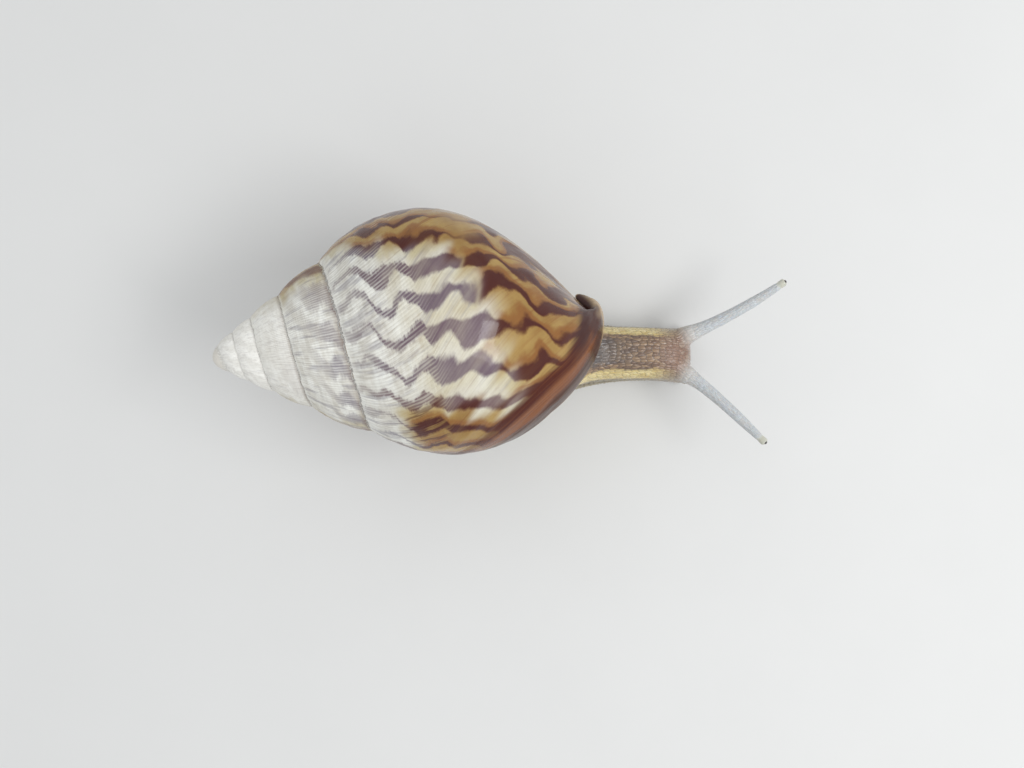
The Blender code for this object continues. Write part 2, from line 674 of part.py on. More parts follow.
def main():
    """Build every part of the snail."""
    clear()
    scene = bpy.context.scene
    parts = bpy.data.collections.new("giant_african_land_snail")
    cutters = bpy.data.collections.new("cutters")
    scene.collection.children.link(parts)
    scene.collection.children.link(cutters)

    def make(name, key, geometry, origin):
        obj = closed_mesh(name, geometry[0], geometry[1], parts, material(name + "_mat", key))
        set_origin(obj, origin)
        return obj

    half = 0.5 * CUT
    shell = make("shell", "shell", shell_mesh(), APEX)
    collar = make("mantle_collar", "collar", collar_mesh(), (0.0, 0.0, 16.0))
    tail = make("tail", "skin", body_length(TAIL_END, TAIL_CUT - half, 9), (TAIL_CUT, 5.3, 0.0))
    foot = make("foot", "skin", body_length(TAIL_CUT + half, NECK_CUT - half, 17), (0.0, 5.3, 0.0))
    neck = make("neck", "skin", body_length(NECK_CUT + half, HEAD_CUT - half, 6),
                (NECK_CUT, 5.3, 6.0))
    head = make("head", "skin", body_length(HEAD_CUT + half, HEAD_END, 9), (HEAD_CUT, 5.3, 5.0))

    around_shell = grown(shell, GAP, "around_shell", cutters)
    around_shell.location = shell.location
    for part in (tail, foot, neck):
        cut(part, around_shell)
    around_collar = grown(collar, 2 * GAP, "around_collar", cutters)
    around_collar.location = collar.location
    cut(foot, around_collar)
    for part in (tail, foot, neck):
        settle(part)

    def seat(part):
        """Sink a part into the head with an even clearance."""
        around = grown(part, half, "around_" + part.name, cutters)
        around.location = part.location
        cut(head, around)

    for side, horn, feeler in (("left", HORN_LEFT, FEELER_LEFT), ("right", HORN_RIGHT, FEELER_RIGHT)):
        a, b, c = HORN_LENGTHS
        seat(make("tentacle_base_" + side, "tentacle",
                  stalk(horn, HORN_RADII, a, b, 8), bezier(horn, np.array([0.15]))[0]))
        make("tentacle_stalk_" + side, "tentacle",
             stalk(horn, HORN_RADII, b + STALK_GAP, c, 8), bezier(horn, np.array([b]))[0])
        geometry, eye_at = bulb(horn)
        tip = make("tentacle_tip_" + side, "tentacle", geometry, bezier(horn, np.array([c]))[0])
        socket = closed_mesh("socket_" + side, *ball(eye_at, [EYE_RADIUS + EYE_CLEAR] * 3, 16, 12),
                             cutters, None)
        socket.hide_render = True
        socket.display_type = "WIRE"
        cut(tip, socket)
        settle(tip)
        make("eye_" + side, "eye", ball(eye_at, [EYE_RADIUS] * 3, 12, 9), eye_at)
        seat(make("lower_tentacle_" + side, "tentacle",
                  stalk(feeler, FEELER_RADII, 0.0, 1.0, 8, 10), feeler[1]))
    seat(make("mouth_lobes", "collar", ball(MOUTH_AT, MOUTH_RADII, 16, 9), MOUTH_AT))
    settle(head)
    centre_on_floor(parts.objects, cutters.objects)


main()
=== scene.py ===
"""Crawling giant african land snail: shell, mantle, skin, eyes and stage.

Lengths are in millimetres in the shape functions and in metres in the scene.
+X is towards the head, +Y is the snail's left and +Z is up.
"""
import math

import bmesh
import bpy
import numpy as np
from bpy.props import FloatProperty, FloatVectorProperty, PointerProperty
from bpy.types import Operator, Panel, PropertyGroup
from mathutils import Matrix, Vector


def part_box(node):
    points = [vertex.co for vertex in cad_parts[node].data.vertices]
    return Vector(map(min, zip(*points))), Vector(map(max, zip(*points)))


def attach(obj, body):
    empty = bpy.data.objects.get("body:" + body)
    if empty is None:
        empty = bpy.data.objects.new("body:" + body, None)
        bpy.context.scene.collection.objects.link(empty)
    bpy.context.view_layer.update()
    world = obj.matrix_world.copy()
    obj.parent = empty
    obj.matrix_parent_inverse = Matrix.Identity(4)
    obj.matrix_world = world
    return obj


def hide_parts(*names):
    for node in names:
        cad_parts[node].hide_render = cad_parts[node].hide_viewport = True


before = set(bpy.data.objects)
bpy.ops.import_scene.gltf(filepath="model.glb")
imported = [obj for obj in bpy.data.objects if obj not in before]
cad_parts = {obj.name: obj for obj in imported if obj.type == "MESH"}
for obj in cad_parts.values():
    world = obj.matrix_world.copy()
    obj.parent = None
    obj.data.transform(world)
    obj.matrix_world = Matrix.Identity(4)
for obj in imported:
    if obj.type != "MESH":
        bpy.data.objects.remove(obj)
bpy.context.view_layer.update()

bl_info = {
    "name": "Giant African Land Snail",
    "version": (1, 0, 0),
    "blender": (4, 5, 0),
    "location": "View3D > Sidebar > Snail",
    "description": "Builds a life-size land snail with its shell and a plain stage",
    "category": "Add Mesh",
}

MM = 0.001
WELD = 2e-6                           # doubles closer than this are merged, in metres

# ---------------------------------------------------------------- shell sizes
APEX = np.array([-44.5, 3.9, 29.0])   # tip of the spire
YAW = 8.8                             # axis turned to the left of straight ahead
DIP = 11.0                            # axis falling towards the head
TIP_RADIUS = 2.8                      # of the rounded tip
TIP_PART = 0.98                       # of that radius, up to which the tip is a ball
TIP_TURN = 1.2                        # turns from the tip over which the cone takes over
FIRST_SPREAD = (0.42, 1.25)           # how fast the first whorl opens: turns and power
TURNS = 5.125                         # whorls from the tip to the lip
FIRST_TURN = 0.25                     # the spiral seam starts this far from the tip
CAP_CENTRE = 0.35                     # middle of the cap inside it, off the axis
GROWTH = 1.524                        # widening per whorl
VIRTUAL_TIP = 2.0                     # the growth law starts this far behind the tip
SUTURE_ALONG = 23.25                  # where the suture meets the lip, along the axis
SUTURE_RADIUS = 15.55                 # and how far from the axis
SUTURE_AZIMUTH = 153.5                # 0 is the back, 90 the right, 180 the belly
WHORL_BULGE = 0.074                   # height of a whorl's bulge over its width
POLE_ALONG = 57.75                    # front end of the axis
EASE = 0.30                           # beyond the lip the seam widens a little less
EASE_LIMIT = -1.3
BASE_RIGHT = (0.495, 3.8, 0.545)      # fullness of the base on the right side
BASE_LEFT = (0.385, -10.9, 0.74)      # and on the left side
RIGHT_TURN = 0.30                     # where each of them holds, turns from the lip
LEFT_TURN = 0.55
DIVE_TURN = 0.80                      # from here the base turns into the mouth
DIVE_GUIDES = (0.10, 0.95, 0.15, 0.12)  # where its two guide points end, along and out
LIP_LAG_BAND = 0.075                  # the lip leans back by this part of a turn
LIP_LAG_POLE = 0.244
LIP_LAG_ROWS = 1.6                    # rows over which the band's lean eases in
LIP_LAG_POWER = 3.4
FLARE_FROM = 0.42                     # part of the base where the front lip flares
FLARE_TURN = 0.25                     # and how far back from the lip it reaches
# guide points of the flared lip, along, up and right of the axis
LIP_TANGENT = np.array([6.8, 1.4, -3.8])
LIP_NOSE = np.array([69.6, -2.7, 0.5])
LIP_HOOK = np.array([56.6, -3.2, -4.6])
LIP_END = np.array([57.35, -2.1, -1.6])
LIP_BEND = np.array([0.5, 2.2, 1.9])  # swing of the notch between lip and axis
BEND_FROM = 0.7                       # part of the base where that swing starts
LIP_THICK = 0.9
LIP_EDGE = 0.1                        # part of the way in over which the edge is rounded
MOUTH_DEEP = 0.5                      # part of the way in where the outer wall ends
MOUTH_DEPTH_TURN = 0.085
MOUTH_REACH = 5.0
MOUTH_REACH_TURN = 0.4
MOUTH_OPEN_ROWS = 0.8                 # rows over which the mouth opens at the seam
MOUTH_CLOSE_ROWS = 0.14               # and closes at the pole
MOUTH_SHALLOW_FROM = 1.95             # rows over which it gets shallow near the pole
MOUTH_SHALLOW_ROWS = 0.35
MOUTH_EDGE_ROWS = 0.3                 # rows at the pole ruled along the lip's own edge
BODY_ROW = 1.1                        # row used to tell the outside from the inside
SLOPE_STEP = 1e-3                     # steps used to measure slopes, in turns and in rows
ROW_STEP = 0.02
TINY = 1e-9                           # keeps a length from being zero

COLUMNS = 260                         # of the shell's grid, per whorl
BAND_ROWS = 40
BASE_ROWS = 104
BASE_CROWDING = 1.2                   # rows closer together towards the pole
CAP_LOOPS = (0.85, 0.7, 0.52, 0.36, 0.2, 0.08)

# ---------------------------------------------------------------- mantle sizes
COLLAR_BACK = (0.2, 0.9)              # parts of the way into the mouth
COLLAR_ROWS = (1.1025, 1.796)         # rows of the mouth that it fills
COLLAR_GRID = (60, 36, 90)            # points across its back and its front, and rows
COLLAR_GAP = 0.5                      # between it and the shell
COLLAR_BULGE = 0.30                   # of its front, over its width
COLLAR_ENDS = np.array([0.85, 0.6, 0.3, 0.0])
COLLAR_SINK = 0.25                    # its surface lies below the CAD solid's by this
HOLE_AT = (0.62, 1.32)                # breathing hole: part of the front and row
HOLE_SIZE = (0.085, 0.055)
HOLE_DEPTH = 1.5
HOLE_LIP = 0.35                       # height of the ring round it

# ---------------------------------------------------------------- body sizes
# x, middle, sole half width, body half width, top, chin height, lean of the top to the left
STATIONS = np.array([
    (-37.5, 5.2, 0.5, 0.4, 0.9, 0.0, 0.0),
    (-30.0, 5.2, 3.6, 2.8, 3.2, 0.0, 0.0),
    (-20.0, 5.3, 7.4, 5.8, 7.0, 0.0, 0.0),
    (-9.0, 5.4, 9.3, 7.8, 15.5, 0.0, -3.5),
    (2.0, 5.5, 8.8, 7.8, 20.0, 0.0, -4.6),
    (10.0, 5.5, 7.2, 6.1, 15.5, 0.0, -1.8),
    (15.0, 5.45, 5.9, 5.15, 12.2, 0.0, 0.0),
    (21.0, 5.45, 5.1, 4.85, 11.4, 0.0, 0.0),
    (26.0, 5.35, 4.7, 4.8, 10.6, 0.3, 0.0),
    (29.2, 5.1, 4.2, 4.9, 9.6, 1.3, 0.0),
    (30.9, 5.0, 3.1, 4.0, 7.9, 2.8, 0.0),
    (31.5, 5.0, 1.7, 2.2, 6.4, 3.9, 0.0),
])
SKIRT = 1.1                           # thickness of the rim of the sole
SKIRT_PART = 0.30                     # and at most this part of the body's height
SHOULDER = 1.8                        # where the flank starts, in skirt thicknesses
RIM_Y = (0.0, 0.88, 1.0, 0.96)        # points under and round the rim, in sole half widths
RIM_Z = (0.0, 0.0, 0.45, 1.0)         # and in skirt thicknesses
FLANK_POWERS = (0.72, 0.9)            # squareness of the flank and of the back
LEAN = (4.0, 10.0)                    # heights from and over which the lean comes in
HORN_LEFT = np.array([(27.6, 7.3, 6.5), (33.0, 9.5, 9.4), (39.6, 12.6, 11.4), (46.1, 17.4, 13.0)])
HORN_RIGHT = np.array([(27.6, 3.4, 6.5), (32.4, 0.9, 9.6), (37.2, -4.5, 11.3), (42.8, -10.1, 12.9)])
HORN_RADII = (
    (0.0, 1.5), (0.1, 1.85), (0.2, 1.6), (0.32, 1.18), (0.5, 1.0), (0.75, 0.86), (0.94, 0.64),
)
HORN_END = 0.937                      # where the bulb starts on the guide curve
STALK_END = 0.95                      # and where the stalk ends inside it
BULB_RADIUS = 0.8
BULB_LONG = 0.85
BULB_ARC = (0.26, 0.995)              # the bulb's ends, in half turns of its arc
BULB_FROM = 0.30                      # and where on that arc the stalk meets it
BULB_POWER = 0.8
EYE_BACK = 0.24                       # eye behind the bulb's tip and above its middle
EYE_UP = 0.26
FEELER_LEFT = np.array([(28.6, 7.7, 3.6), (29.7, 8.4, 3.4), (30.7, 9.0, 2.7), (31.3, 9.4, 1.8)])
FEELER_RIGHT = np.array([(28.6, 2.4, 3.6), (29.7, 1.8, 3.4), (30.7, 1.2, 2.7), (31.3, 0.8, 1.8)])
FEELER_RADII = ((0.0, 0.9), (0.3, 1.0), (0.5, 0.85), (0.8, 0.72), (0.93, 0.85), (1.0, 0.8))
FEELER_KNOB = (0.8, 0.85, 0.8)
MOUTH_AT = (30.0, 5.1, 2.9)
MOUTH_RADII = (1.5, 1.6, 1.3)
BALL_ENDS = (0.01, 0.99)              # first and last ring of a ball, in half turns
SHELL_GAP = 0.3                       # between the skin and the shell or the mantle
# roots that are filleted: guide curve, place on it and reach in millimetres
ROOTS = (
    (HORN_LEFT, 0.10, 3.4), (HORN_RIGHT, 0.10, 3.4),
    (FEELER_LEFT, 0.30, 1.7), (FEELER_RIGHT, 0.30, 1.7),
)
EVEN_OUT = (0.5, -0.52) * 5           # shares moved in turn to smooth without shrinking
FILLET_TIMES = 20


# ---------------------------------------------------------------- numbers
def smooth(x):
    """Rises from 0 to 1 with level ends: 3x^2 - 2x^3, x held between 0 and 1."""
    x = np.clip(x, 0.0, 1.0)
    return x * x * (3.0 - 2.0 * x)


def rise(x, start, over):
    """Smooth rise from 0 at start to 1 at start plus over; over is below 0 for a fall."""
    return smooth((x - start) / over)


def through(stations, x):
    """Cubic Hermite curve through rows of (x, values...), level at each peak and dip."""
    stations = np.asarray(stations, float)
    xs = stations[:, 0]
    ys = stations[:, 1:]
    slope = np.gradient(ys, xs, axis=0)
    step = np.diff(ys, axis=0)
    flat = np.zeros_like(slope, bool)
    flat[1:-1] = step[1:] * step[:-1] <= 0.0
    slope[flat] = 0.0
    i = np.clip(np.searchsorted(xs, x) - 1, 0, len(xs) - 2)
    h = (xs[i + 1] - xs[i])[..., None]
    t = np.clip((x - xs[i])[..., None] / h, 0.0, 1.0)
    return ((1 + 2 * t) * (1 - t) ** 2 * ys[i] + t * (1 - t) ** 2 * h * slope[i]
            + t * t * (3 - 2 * t) * ys[i + 1] + t * t * (t - 1) * h * slope[i + 1])


def bezier(points, t):
    """Bernstein sum of guide points, t an array from 0 to 1."""
    t = np.asarray(t, float)[..., None]
    n = len(points) - 1
    return sum(math.comb(n, k) * t ** k * (1 - t) ** (n - k) * p for k, p in enumerate(points))


def scatter(i, j, seed):
    """Two even random numbers for each whole cell: the fractions of two large sines."""
    factors = ((127.1, 311.7, 74.7), (269.5, 183.3, 246.1))
    sines = [43758.5453 * np.sin(i * a + j * b + seed * c) for a, b, c in factors]
    return [s - np.floor(s) for s in sines]


def drift(a, b, seed):
    """Value noise from -1 to 1: random corner values joined by smooth steps in a and b."""
    i = np.floor(a)
    j = np.floor(b)
    s = smooth(a - i)
    t = smooth(b - j)
    near = scatter(i, j, seed)[0] * (1 - s) + scatter(i + 1, j, seed)[0] * s
    far = scatter(i, j + 1, seed)[0] * (1 - s) + scatter(i + 1, j + 1, seed)[0] * s
    return 2 * (near * (1 - t) + far * t) - 1


def layers(a, b, table):
    """Sum of value noises, each row a height, the scales of a and of b, and a seed."""
    return sum(height * drift(a * i, b * j, seed) for height, i, j, seed in table)


def cells(a, b, seed, jitter_a, jitter_b):
    """Distances to the nearest and second nearest jittered cell middles, and the cell's number."""
    cell_a = np.floor(a)
    cell_b = np.floor(b)
    first = np.full(a.shape, np.inf)
    second = first.copy()
    own = np.zeros(a.shape)
    for da in (-1, 0, 1):
        for db in (-1, 0, 1):
            ja, jb = scatter(cell_a + da, cell_b + db, seed)
            gap_a = cell_a + da + 0.5 + jitter_a * (ja - 0.5) - a
            gap_b = cell_b + db + 0.5 + jitter_b * (jb - 0.5) - b
            d = np.hypot(gap_a, gap_b)
            nearer = d < first
            second = np.where(nearer, first, np.minimum(second, d))
            own = np.where(nearer, ja, own)
            first = np.where(nearer, d, first)
    return first, second, own


# ---------------------------------------------------------------- shell surface
def shell_axes():
    """Unit vectors along the shell's axis, up and to the right."""
    yaw = math.radians(YAW)
    dip = math.radians(DIP)
    level = math.cos(dip)
    along = np.array([level * math.cos(yaw), level * math.sin(yaw), -math.sin(dip)])
    right = np.cross(along, [0.0, 0.0, 1.0])
    right /= np.linalg.norm(right)
    return along, np.cross(right, along), right


def to_world(local):
    """Apex plus along, up and right times the shell's three axes."""
    along, up, right = shell_axes()
    return APEX + local[..., :1] * along + local[..., 1:2] * up + local[..., 2:] * right


def dome(radius):
    """Distance along the axis on a ball of TIP_RADIUS that touches the apex."""
    inside = np.minimum(radius, TIP_PART * TIP_RADIUS)
    return TIP_RADIUS - np.sqrt(TIP_RADIUS ** 2 - inside ** 2)


def suture(turn):
    """Along and radius of the spiral seam: both fall by GROWTH each turn back from the lip."""
    eased = np.where(turn < 0, turn * (1 + EASE * np.clip(turn, EASE_LIMIT, 0)), turn)
    age = np.clip(TURNS - turn, 0.0, None)
    opened = 1 - np.exp(-(age / FIRST_SPREAD[0]) ** FIRST_SPREAD[1])
    radius = SUTURE_RADIUS * GROWTH ** (-eased) * opened
    span = SUTURE_ALONG + VIRTUAL_TIP
    grown_up = smooth(age / TIP_TURN)
    along = (span * GROWTH ** (-turn) - VIRTUAL_TIP) * grown_up + dome(radius) * (1 - grown_up)
    return along, radius


def band(turn, v):
    """Circular arc between one suture and the next, WHORL_BULGE of its width high."""
    s0, r0 = suture(turn)
    s1, r1 = suture(turn - 1)
    ds = s1 - s0
    dr = r1 - r0
    half = 2 * math.atan(2 * WHORL_BULGE)
    angle = half * (1 - 2 * v)
    forward = 0.5 * (1 - np.sin(angle) / math.sin(half))
    out = (np.cos(angle) - math.cos(half)) / (2 * math.sin(half))
    return s0 + forward * ds - out * dr, r0 + forward * dr + out * ds


def base(turn, w):
    """Cubic curve from the band's edge to the pole, pulled into the mouth near turn 1."""
    s0, r0 = suture(turn)
    s1, r1 = suture(turn - 1)
    slope = np.arctan2(r1 - r0, s1 - s0) - 2 * math.atan(2 * WHORL_BULGE)
    length = POLE_ALONG - s1
    side = rise(turn, RIGHT_TURN, LEFT_TURN - RIGHT_TURN)
    reach, pole, width = [a + (b - a) * side for a, b in zip(BASE_RIGHT, BASE_LEFT)]
    dive = rise(turn, DIVE_TURN, 1 - DIVE_TURN)
    near_s, near_r, far_s, far_r = DIVE_GUIDES

    def diving(start, end):
        """Start moved towards end by the part of the dive."""
        return start + (end - start) * dive

    first_s = diving(s1 + reach * length * np.cos(slope), s1 + near_s * length)
    first_r = diving(r1 + reach * length * np.sin(slope), near_r * r1)
    second_s = diving(POLE_ALONG + pole, s1 + far_s * length)
    second_r = diving(width * r1, far_r * r1)
    k = [(1 - w) ** 3, 3 * w * (1 - w) ** 2, 3 * w * w * (1 - w), w ** 3]
    along = k[0] * s1 + k[1] * first_s + k[2] * second_s + k[3] * POLE_ALONG
    return along, k[0] * r1 + k[1] * first_r + k[2] * second_r


def lip_lag(q):
    """Part of a turn by which the lip leans back behind the suture in row q."""
    early = LIP_LAG_BAND * smooth(q / LIP_LAG_ROWS) / smooth(1 / LIP_LAG_ROWS)
    late = 1 - (1 - np.clip(q - 1, 0, 1)) ** LIP_LAG_POWER
    return np.where(q <= 1, early, LIP_LAG_BAND + (LIP_LAG_POLE - LIP_LAG_BAND) * late)


def ring(along, radius, azimuth):
    """Along, radius times cosine and radius times sine of an azimuth in degrees."""
    a = np.radians(azimuth)
    return np.stack([along, radius * np.cos(a), radius * np.sin(a)], -1)


def plain_whorl(u, q):
    """Band for q up to 1 and base beyond it, swept round the axis from lip (u 0) to inner lip."""
    u, q = np.broadcast_arrays(np.asarray(u, float), np.asarray(q, float))
    lag = lip_lag(q)
    turn = lag + u * (1 - lag)
    in_band = band(turn, np.clip(q, 0, 1))
    in_base = base(turn, np.clip(q - 1, 0, 1))
    s, r = [np.where(q <= 1, a, b) for a, b in zip(in_band, in_base)]
    return ring(s, r, SUTURE_AZIMUTH - 360 * turn)


def last_whorl(u, q):
    """Plain whorl moved near the lip onto a curve of guide points, so the lip flares and hooks."""
    u, q = np.broadcast_arrays(np.asarray(u, float), np.asarray(q, float))
    w = np.clip(q - 1, 0, 1)
    start = plain_whorl(np.zeros(1), np.array([1 + FLARE_FROM]))[0]
    t = np.clip((w - FLARE_FROM) / (1 - FLARE_FROM), 0, 1)
    lip = bezier([start, start + LIP_TANGENT, LIP_NOSE, LIP_HOOK, LIP_END], t)
    shift = lip - plain_whorl(np.zeros_like(w), 1 + w)
    weight = smooth(1 - u / FLARE_TURN) * (w > FLARE_FROM)
    part = np.clip(u / FLARE_TURN, 0, 1)
    bend = 4 * part * (1 - part) * rise(w, BEND_FROM, 1 - BEND_FROM)
    return plain_whorl(u, q) + weight[..., None] * shift + bend[..., None] * LIP_BEND


def outward(u, q):
    """Unit cross product of the whorl's two slopes, turned away from the axis."""
    e = SLOPE_STEP
    q = np.clip(q, e, 2 - 2 * e)
    du = last_whorl(u + e, q) - last_whorl(u, q)
    dq = last_whorl(u, q + e) - last_whorl(u, q - e)
    n = np.cross(du, dq)
    n /= np.maximum(np.linalg.norm(n, axis=-1, keepdims=True), TINY)
    row = np.full_like(q, BODY_ROW)
    at = last_whorl(u, row)
    across = np.cross(last_whorl(u + e, row) - at, last_whorl(u, row + e) - at)
    centre = np.array([0.5 * (SUTURE_ALONG + POLE_ALONG), 0.0, 0.0])
    return n * np.sign(np.sum(across * (at - centre), -1, keepdims=True))


def backwards(points):
    """Vectors round the axis into the mouth, shorter close to the axis."""
    n = np.stack([np.zeros_like(points[..., 0]), points[..., 2], -points[..., 1]], -1)
    radius = np.maximum(np.linalg.norm(n, axis=-1, keepdims=True), TINY)
    return n / radius * np.minimum(MOUTH_REACH, MOUTH_REACH_TURN * radius)


def mouth(f, q):
    """Inside of the mouth: down the lip's inner wall (f to 0.5), then a curve to the inner lip."""
    f, q = np.broadcast_arrays(np.asarray(f, float), np.asarray(q, float))
    window = smooth(q / MOUTH_OPEN_ROWS) * smooth((2 - q) / MOUTH_CLOSE_ROWS)
    depth = rise(q, MOUTH_SHALLOW_FROM, -MOUTH_SHALLOW_ROWS)
    end_u = depth * MOUTH_DEPTH_TURN
    wall_u = end_u * np.clip((f - LIP_EDGE) / (MOUTH_DEEP - LIP_EDGE), 0, 1)
    thick = LIP_THICK * np.sin(0.5 * math.pi * np.clip(f / LIP_EDGE, 0, 1))
    wall = last_whorl(wall_u, q) - outward(wall_u, q) * thick[..., None]
    end = last_whorl(end_u, q) - outward(end_u, q) * LIP_THICK
    inner = plain_whorl(np.ones_like(q), np.clip(q, 1, 2))
    guides = [end, end + backwards(end) * depth[..., None],
              inner + backwards(inner) * depth[..., None], inner]
    floor = bezier(guides, np.clip((f - MOUTH_DEEP) / (1 - MOUTH_DEEP), 0, 1))
    full = np.where((f <= MOUTH_DEEP)[..., None], wall, floor)
    lip = last_whorl(np.zeros_like(q), q)
    ruled = lip + (inner - lip) * f[..., None]
    path = last_whorl(FLARE_TURN * f, np.full_like(q, 2.0))
    ruled = ruled + (path - ruled) * rise(q, 2 - MOUTH_EDGE_ROWS, MOUTH_EDGE_ROWS)[..., None]
    return ruled + (full - ruled) * window[..., None]


def bulb_frame(guide):
    """Where an upper tentacle's bulb starts, and its forward, side and up directions."""
    at = bezier(guide, np.array([HORN_END, HORN_END + 0.01]))
    forward = at[1] - at[0]
    forward /= np.linalg.norm(forward)
    side = np.cross(forward, [0.0, 0.0, 1.0])
    side /= np.linalg.norm(side)
    return at[0], forward, side, np.cross(side, forward)


def eye_point(guide):
    """Middle of the eye: a little back from the bulb's tip and above its axis."""
    at, forward, _, up = bulb_frame(guide)
    tip = at + forward * BULB_LONG * (math.cos(math.pi * BULB_FROM) + 1.0)
    return tip - forward * EYE_BACK + up * EYE_UP


def cad_middle(node):
    """Middle of a CAD node's box, in millimetres."""
    low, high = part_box(node)
    return (np.array(low) + np.array(high)) * 0.5 / MM


# from the design's axes to the row's: the left eye stands at the same place in both
SHIFT = cad_middle("eye_left") - eye_point(HORN_LEFT)


# ---------------------------------------------------------------- meshes
def grid_faces(grid, closed=False):
    """Quads of a grid of points; closed joins the last column to the first."""
    rows, cols = grid.shape[:2]
    i = np.arange(rows - 1)[:, None] * cols
    j = np.arange(cols if closed else cols - 1)[None]
    n = (j + 1) % cols
    return np.stack([i + j, i + n, i + cols + n, i + cols + j], -1).reshape(-1, 4)


def welded_mesh(name, blocks, numbers=None):
    """Closed mesh in metres in the row's frame, of (points, faces) blocks, with named numbers on
    its points: doubles merged, empty faces dropped and every face turned outward."""
    points = [p.reshape(-1, 3) for p, _ in blocks]
    starts = np.cumsum([0] + [len(p) for p in points])
    faces = np.concatenate([f + start for (_, f), start in zip(blocks, starts)])
    mesh = bpy.data.meshes.new(name)
    mesh.from_pydata(((np.concatenate(points) + SHIFT) * MM).tolist(), [], faces.tolist())
    store(mesh, numbers or {})
    bm = bmesh.new()
    bm.from_mesh(mesh)
    bmesh.ops.remove_doubles(bm, verts=bm.verts, dist=WELD)
    bmesh.ops.dissolve_degenerate(bm, edges=bm.edges, dist=WELD * 0.1)
    bmesh.ops.recalc_face_normals(bm, faces=bm.faces)
    if bm.calc_volume(signed=True) < 0:
        bmesh.ops.reverse_faces(bm, faces=bm.faces)
    bm.to_mesh(mesh)
    bm.free()
    mesh.update()
    return mesh


def store(mesh, numbers):
    """Keep numbers on a mesh's points, each array under its name."""
    for key, values in numbers.items():
        layer = mesh.attributes.new(key, "FLOAT", "POINT")
        layer.data.foreach_set("value", np.ascontiguousarray(values, np.float32).ravel())


def fetch(mesh, *keys):
    """Read the numbers kept under some names."""
    found = []
    for key in keys:
        values = np.empty(len(mesh.vertices), np.float32)
        mesh.attributes[key].data.foreach_get("value", values)
        found.append(values.astype(float))
    return found


def get_points(mesh):
    """Points of a mesh in millimetres on the design's axes."""
    co = np.empty(len(mesh.vertices) * 3)
    mesh.vertices.foreach_get("co", co)
    return co.reshape(-1, 3) / MM - SHIFT


def set_points(mesh, points):
    """Move a mesh's points, given in millimetres on the design's axes."""
    mesh.vertices.foreach_set("co", ((points + SHIFT) * MM).ravel())
    mesh.update()


def get_normals(mesh):
    """Unit normals of a mesh's points."""
    n = np.empty(len(mesh.vertices) * 3, np.float32)
    mesh.vertex_normals.foreach_get("vector", n)
    return n.reshape(-1, 3).astype(float)


def swell(mesh, height):
    """Move a mesh's points along their normals by a height in millimetres each."""
    set_points(mesh, get_points(mesh) + get_normals(mesh) * height[:, None])


def place(name, mesh, material, slot, *nodes):
    """Show a mesh as a piece on the root body, in place of CAD nodes."""
    mesh.materials.append(material)
    mesh.shade_smooth()
    obj = bpy.data.objects.new(name, mesh)
    bpy.context.scene.collection.objects.link(obj)
    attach(obj, "root")
    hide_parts(*nodes)


# ---------------------------------------------------------------- shell piece
# by row: how far flames lean towards the lip, in turns, and how close they stand
FLAME_STEPS = (
    (0.0, 0.0, 1.0), (0.32, 0.0, 1.0), (0.42, 0.008, 1.0), (0.52, 0.024, 1.0), (0.64, 0.038, 1.0),
    (0.80, 0.041, 1.0), (0.93, 0.048, 1.0), (1.0, 0.062, 1.0), (1.1, 0.117, 0.93),
    (1.2, 0.172, 0.86), (1.28, 0.198, 0.85), (1.35, 0.219, 0.81), (1.42, 0.241, 0.76),
    (1.46, 0.271, 0.74), (1.55, 0.308, 0.64), (1.63, 0.362, 0.50), (1.72, 0.383, 0.45),
    (1.8, 0.405, 0.42), (2.0, 0.420, 0.40),
)
# by row: the share of the spacing that a flame fills
FLAME_SHARES = (
    (0.0, 0.24), (0.35, 0.26), (0.48, 0.36), (0.60, 0.44), (0.72, 0.48), (0.90, 0.46),
    (1.0, 0.46), (1.12, 0.48), (1.2, 0.42), (1.3, 0.35), (1.4, 0.36), (1.55, 0.42), (1.75, 0.50),
    (2.0, 0.6),
)
FLAMES = 21.9                         # in one turn
FLAME_PHASE = 6.5 - 0.326 * FLAMES
FEWER_FLAMES = 11.0                   # lost from each turn of the spire
SPIRE_SPAN = (0.75, 2.2)              # turns from and over which they are lost
LAST_TURN = 1.001                     # growth below this lies on the last whorl
# noises on the shell: height, scale back from the lip, scale across the rows, seed
FLAME_BENDS = ((0.007, 9.0, 3.0, 3), (0.011, 24.0, 7.5, 5))
FLAME_TEETH = ((0.009, 42.0, 15.0, 6),)
FLAME_SWELLS = ((0.22, 17.0, 6.0, 8),)
FLAME_KNOTS = ((0.34, 20.0, 13.0, 9),)
WEAR_BLUR = ((10.0, 12.0, 4.0, 12), (8.0, 40.0, 5.0, 13))
WEAR_RAGS = ((0.05, 26.0, 2.0, 11), (0.05, 60.0, 5.0, 14))
RIDGES = ((0.055, 46.0, 0.8, 21), (0.035, 95.0, 1.1, 22))
FOLDS = ((0.10, 58.0, 0.1, 23),)
DENTS = ((0.10, 7.0, 1.6, 24), (0.060, 44.0, 12.0, 25), (0.020, 90.0, 26.0, 26))
LIP_WAVES = ((0.04, 4.0, 9.0, 31),)
MARGIN_WAVES = ((0.12, 50.0, 9.0, 32),)
FOLD_ROWS = 0.07                      # reach of the folds below the seam
GAP_ROW = (1.245, 0.022)              # row where flames break, and half width of the break
BAND_WIDTH = (0.142, 0.24, 1.48, 0.4)  # turns, widening per row from a row, and rows it goes on
MARGIN = 0.72                         # width of the cream margin on the nose, in lip bands
EDGE_LINE = 0.0045                    # width of the cream line on the edge, in turns


def lean_of(g, q):
    """Turns that the flames are counted by: growth times how close they stand, plus the lean."""
    lean, close = np.moveaxis(through(FLAME_STEPS, q), -1, 0)
    return lean + np.where(g < LAST_TURN, close, 1.0) * g


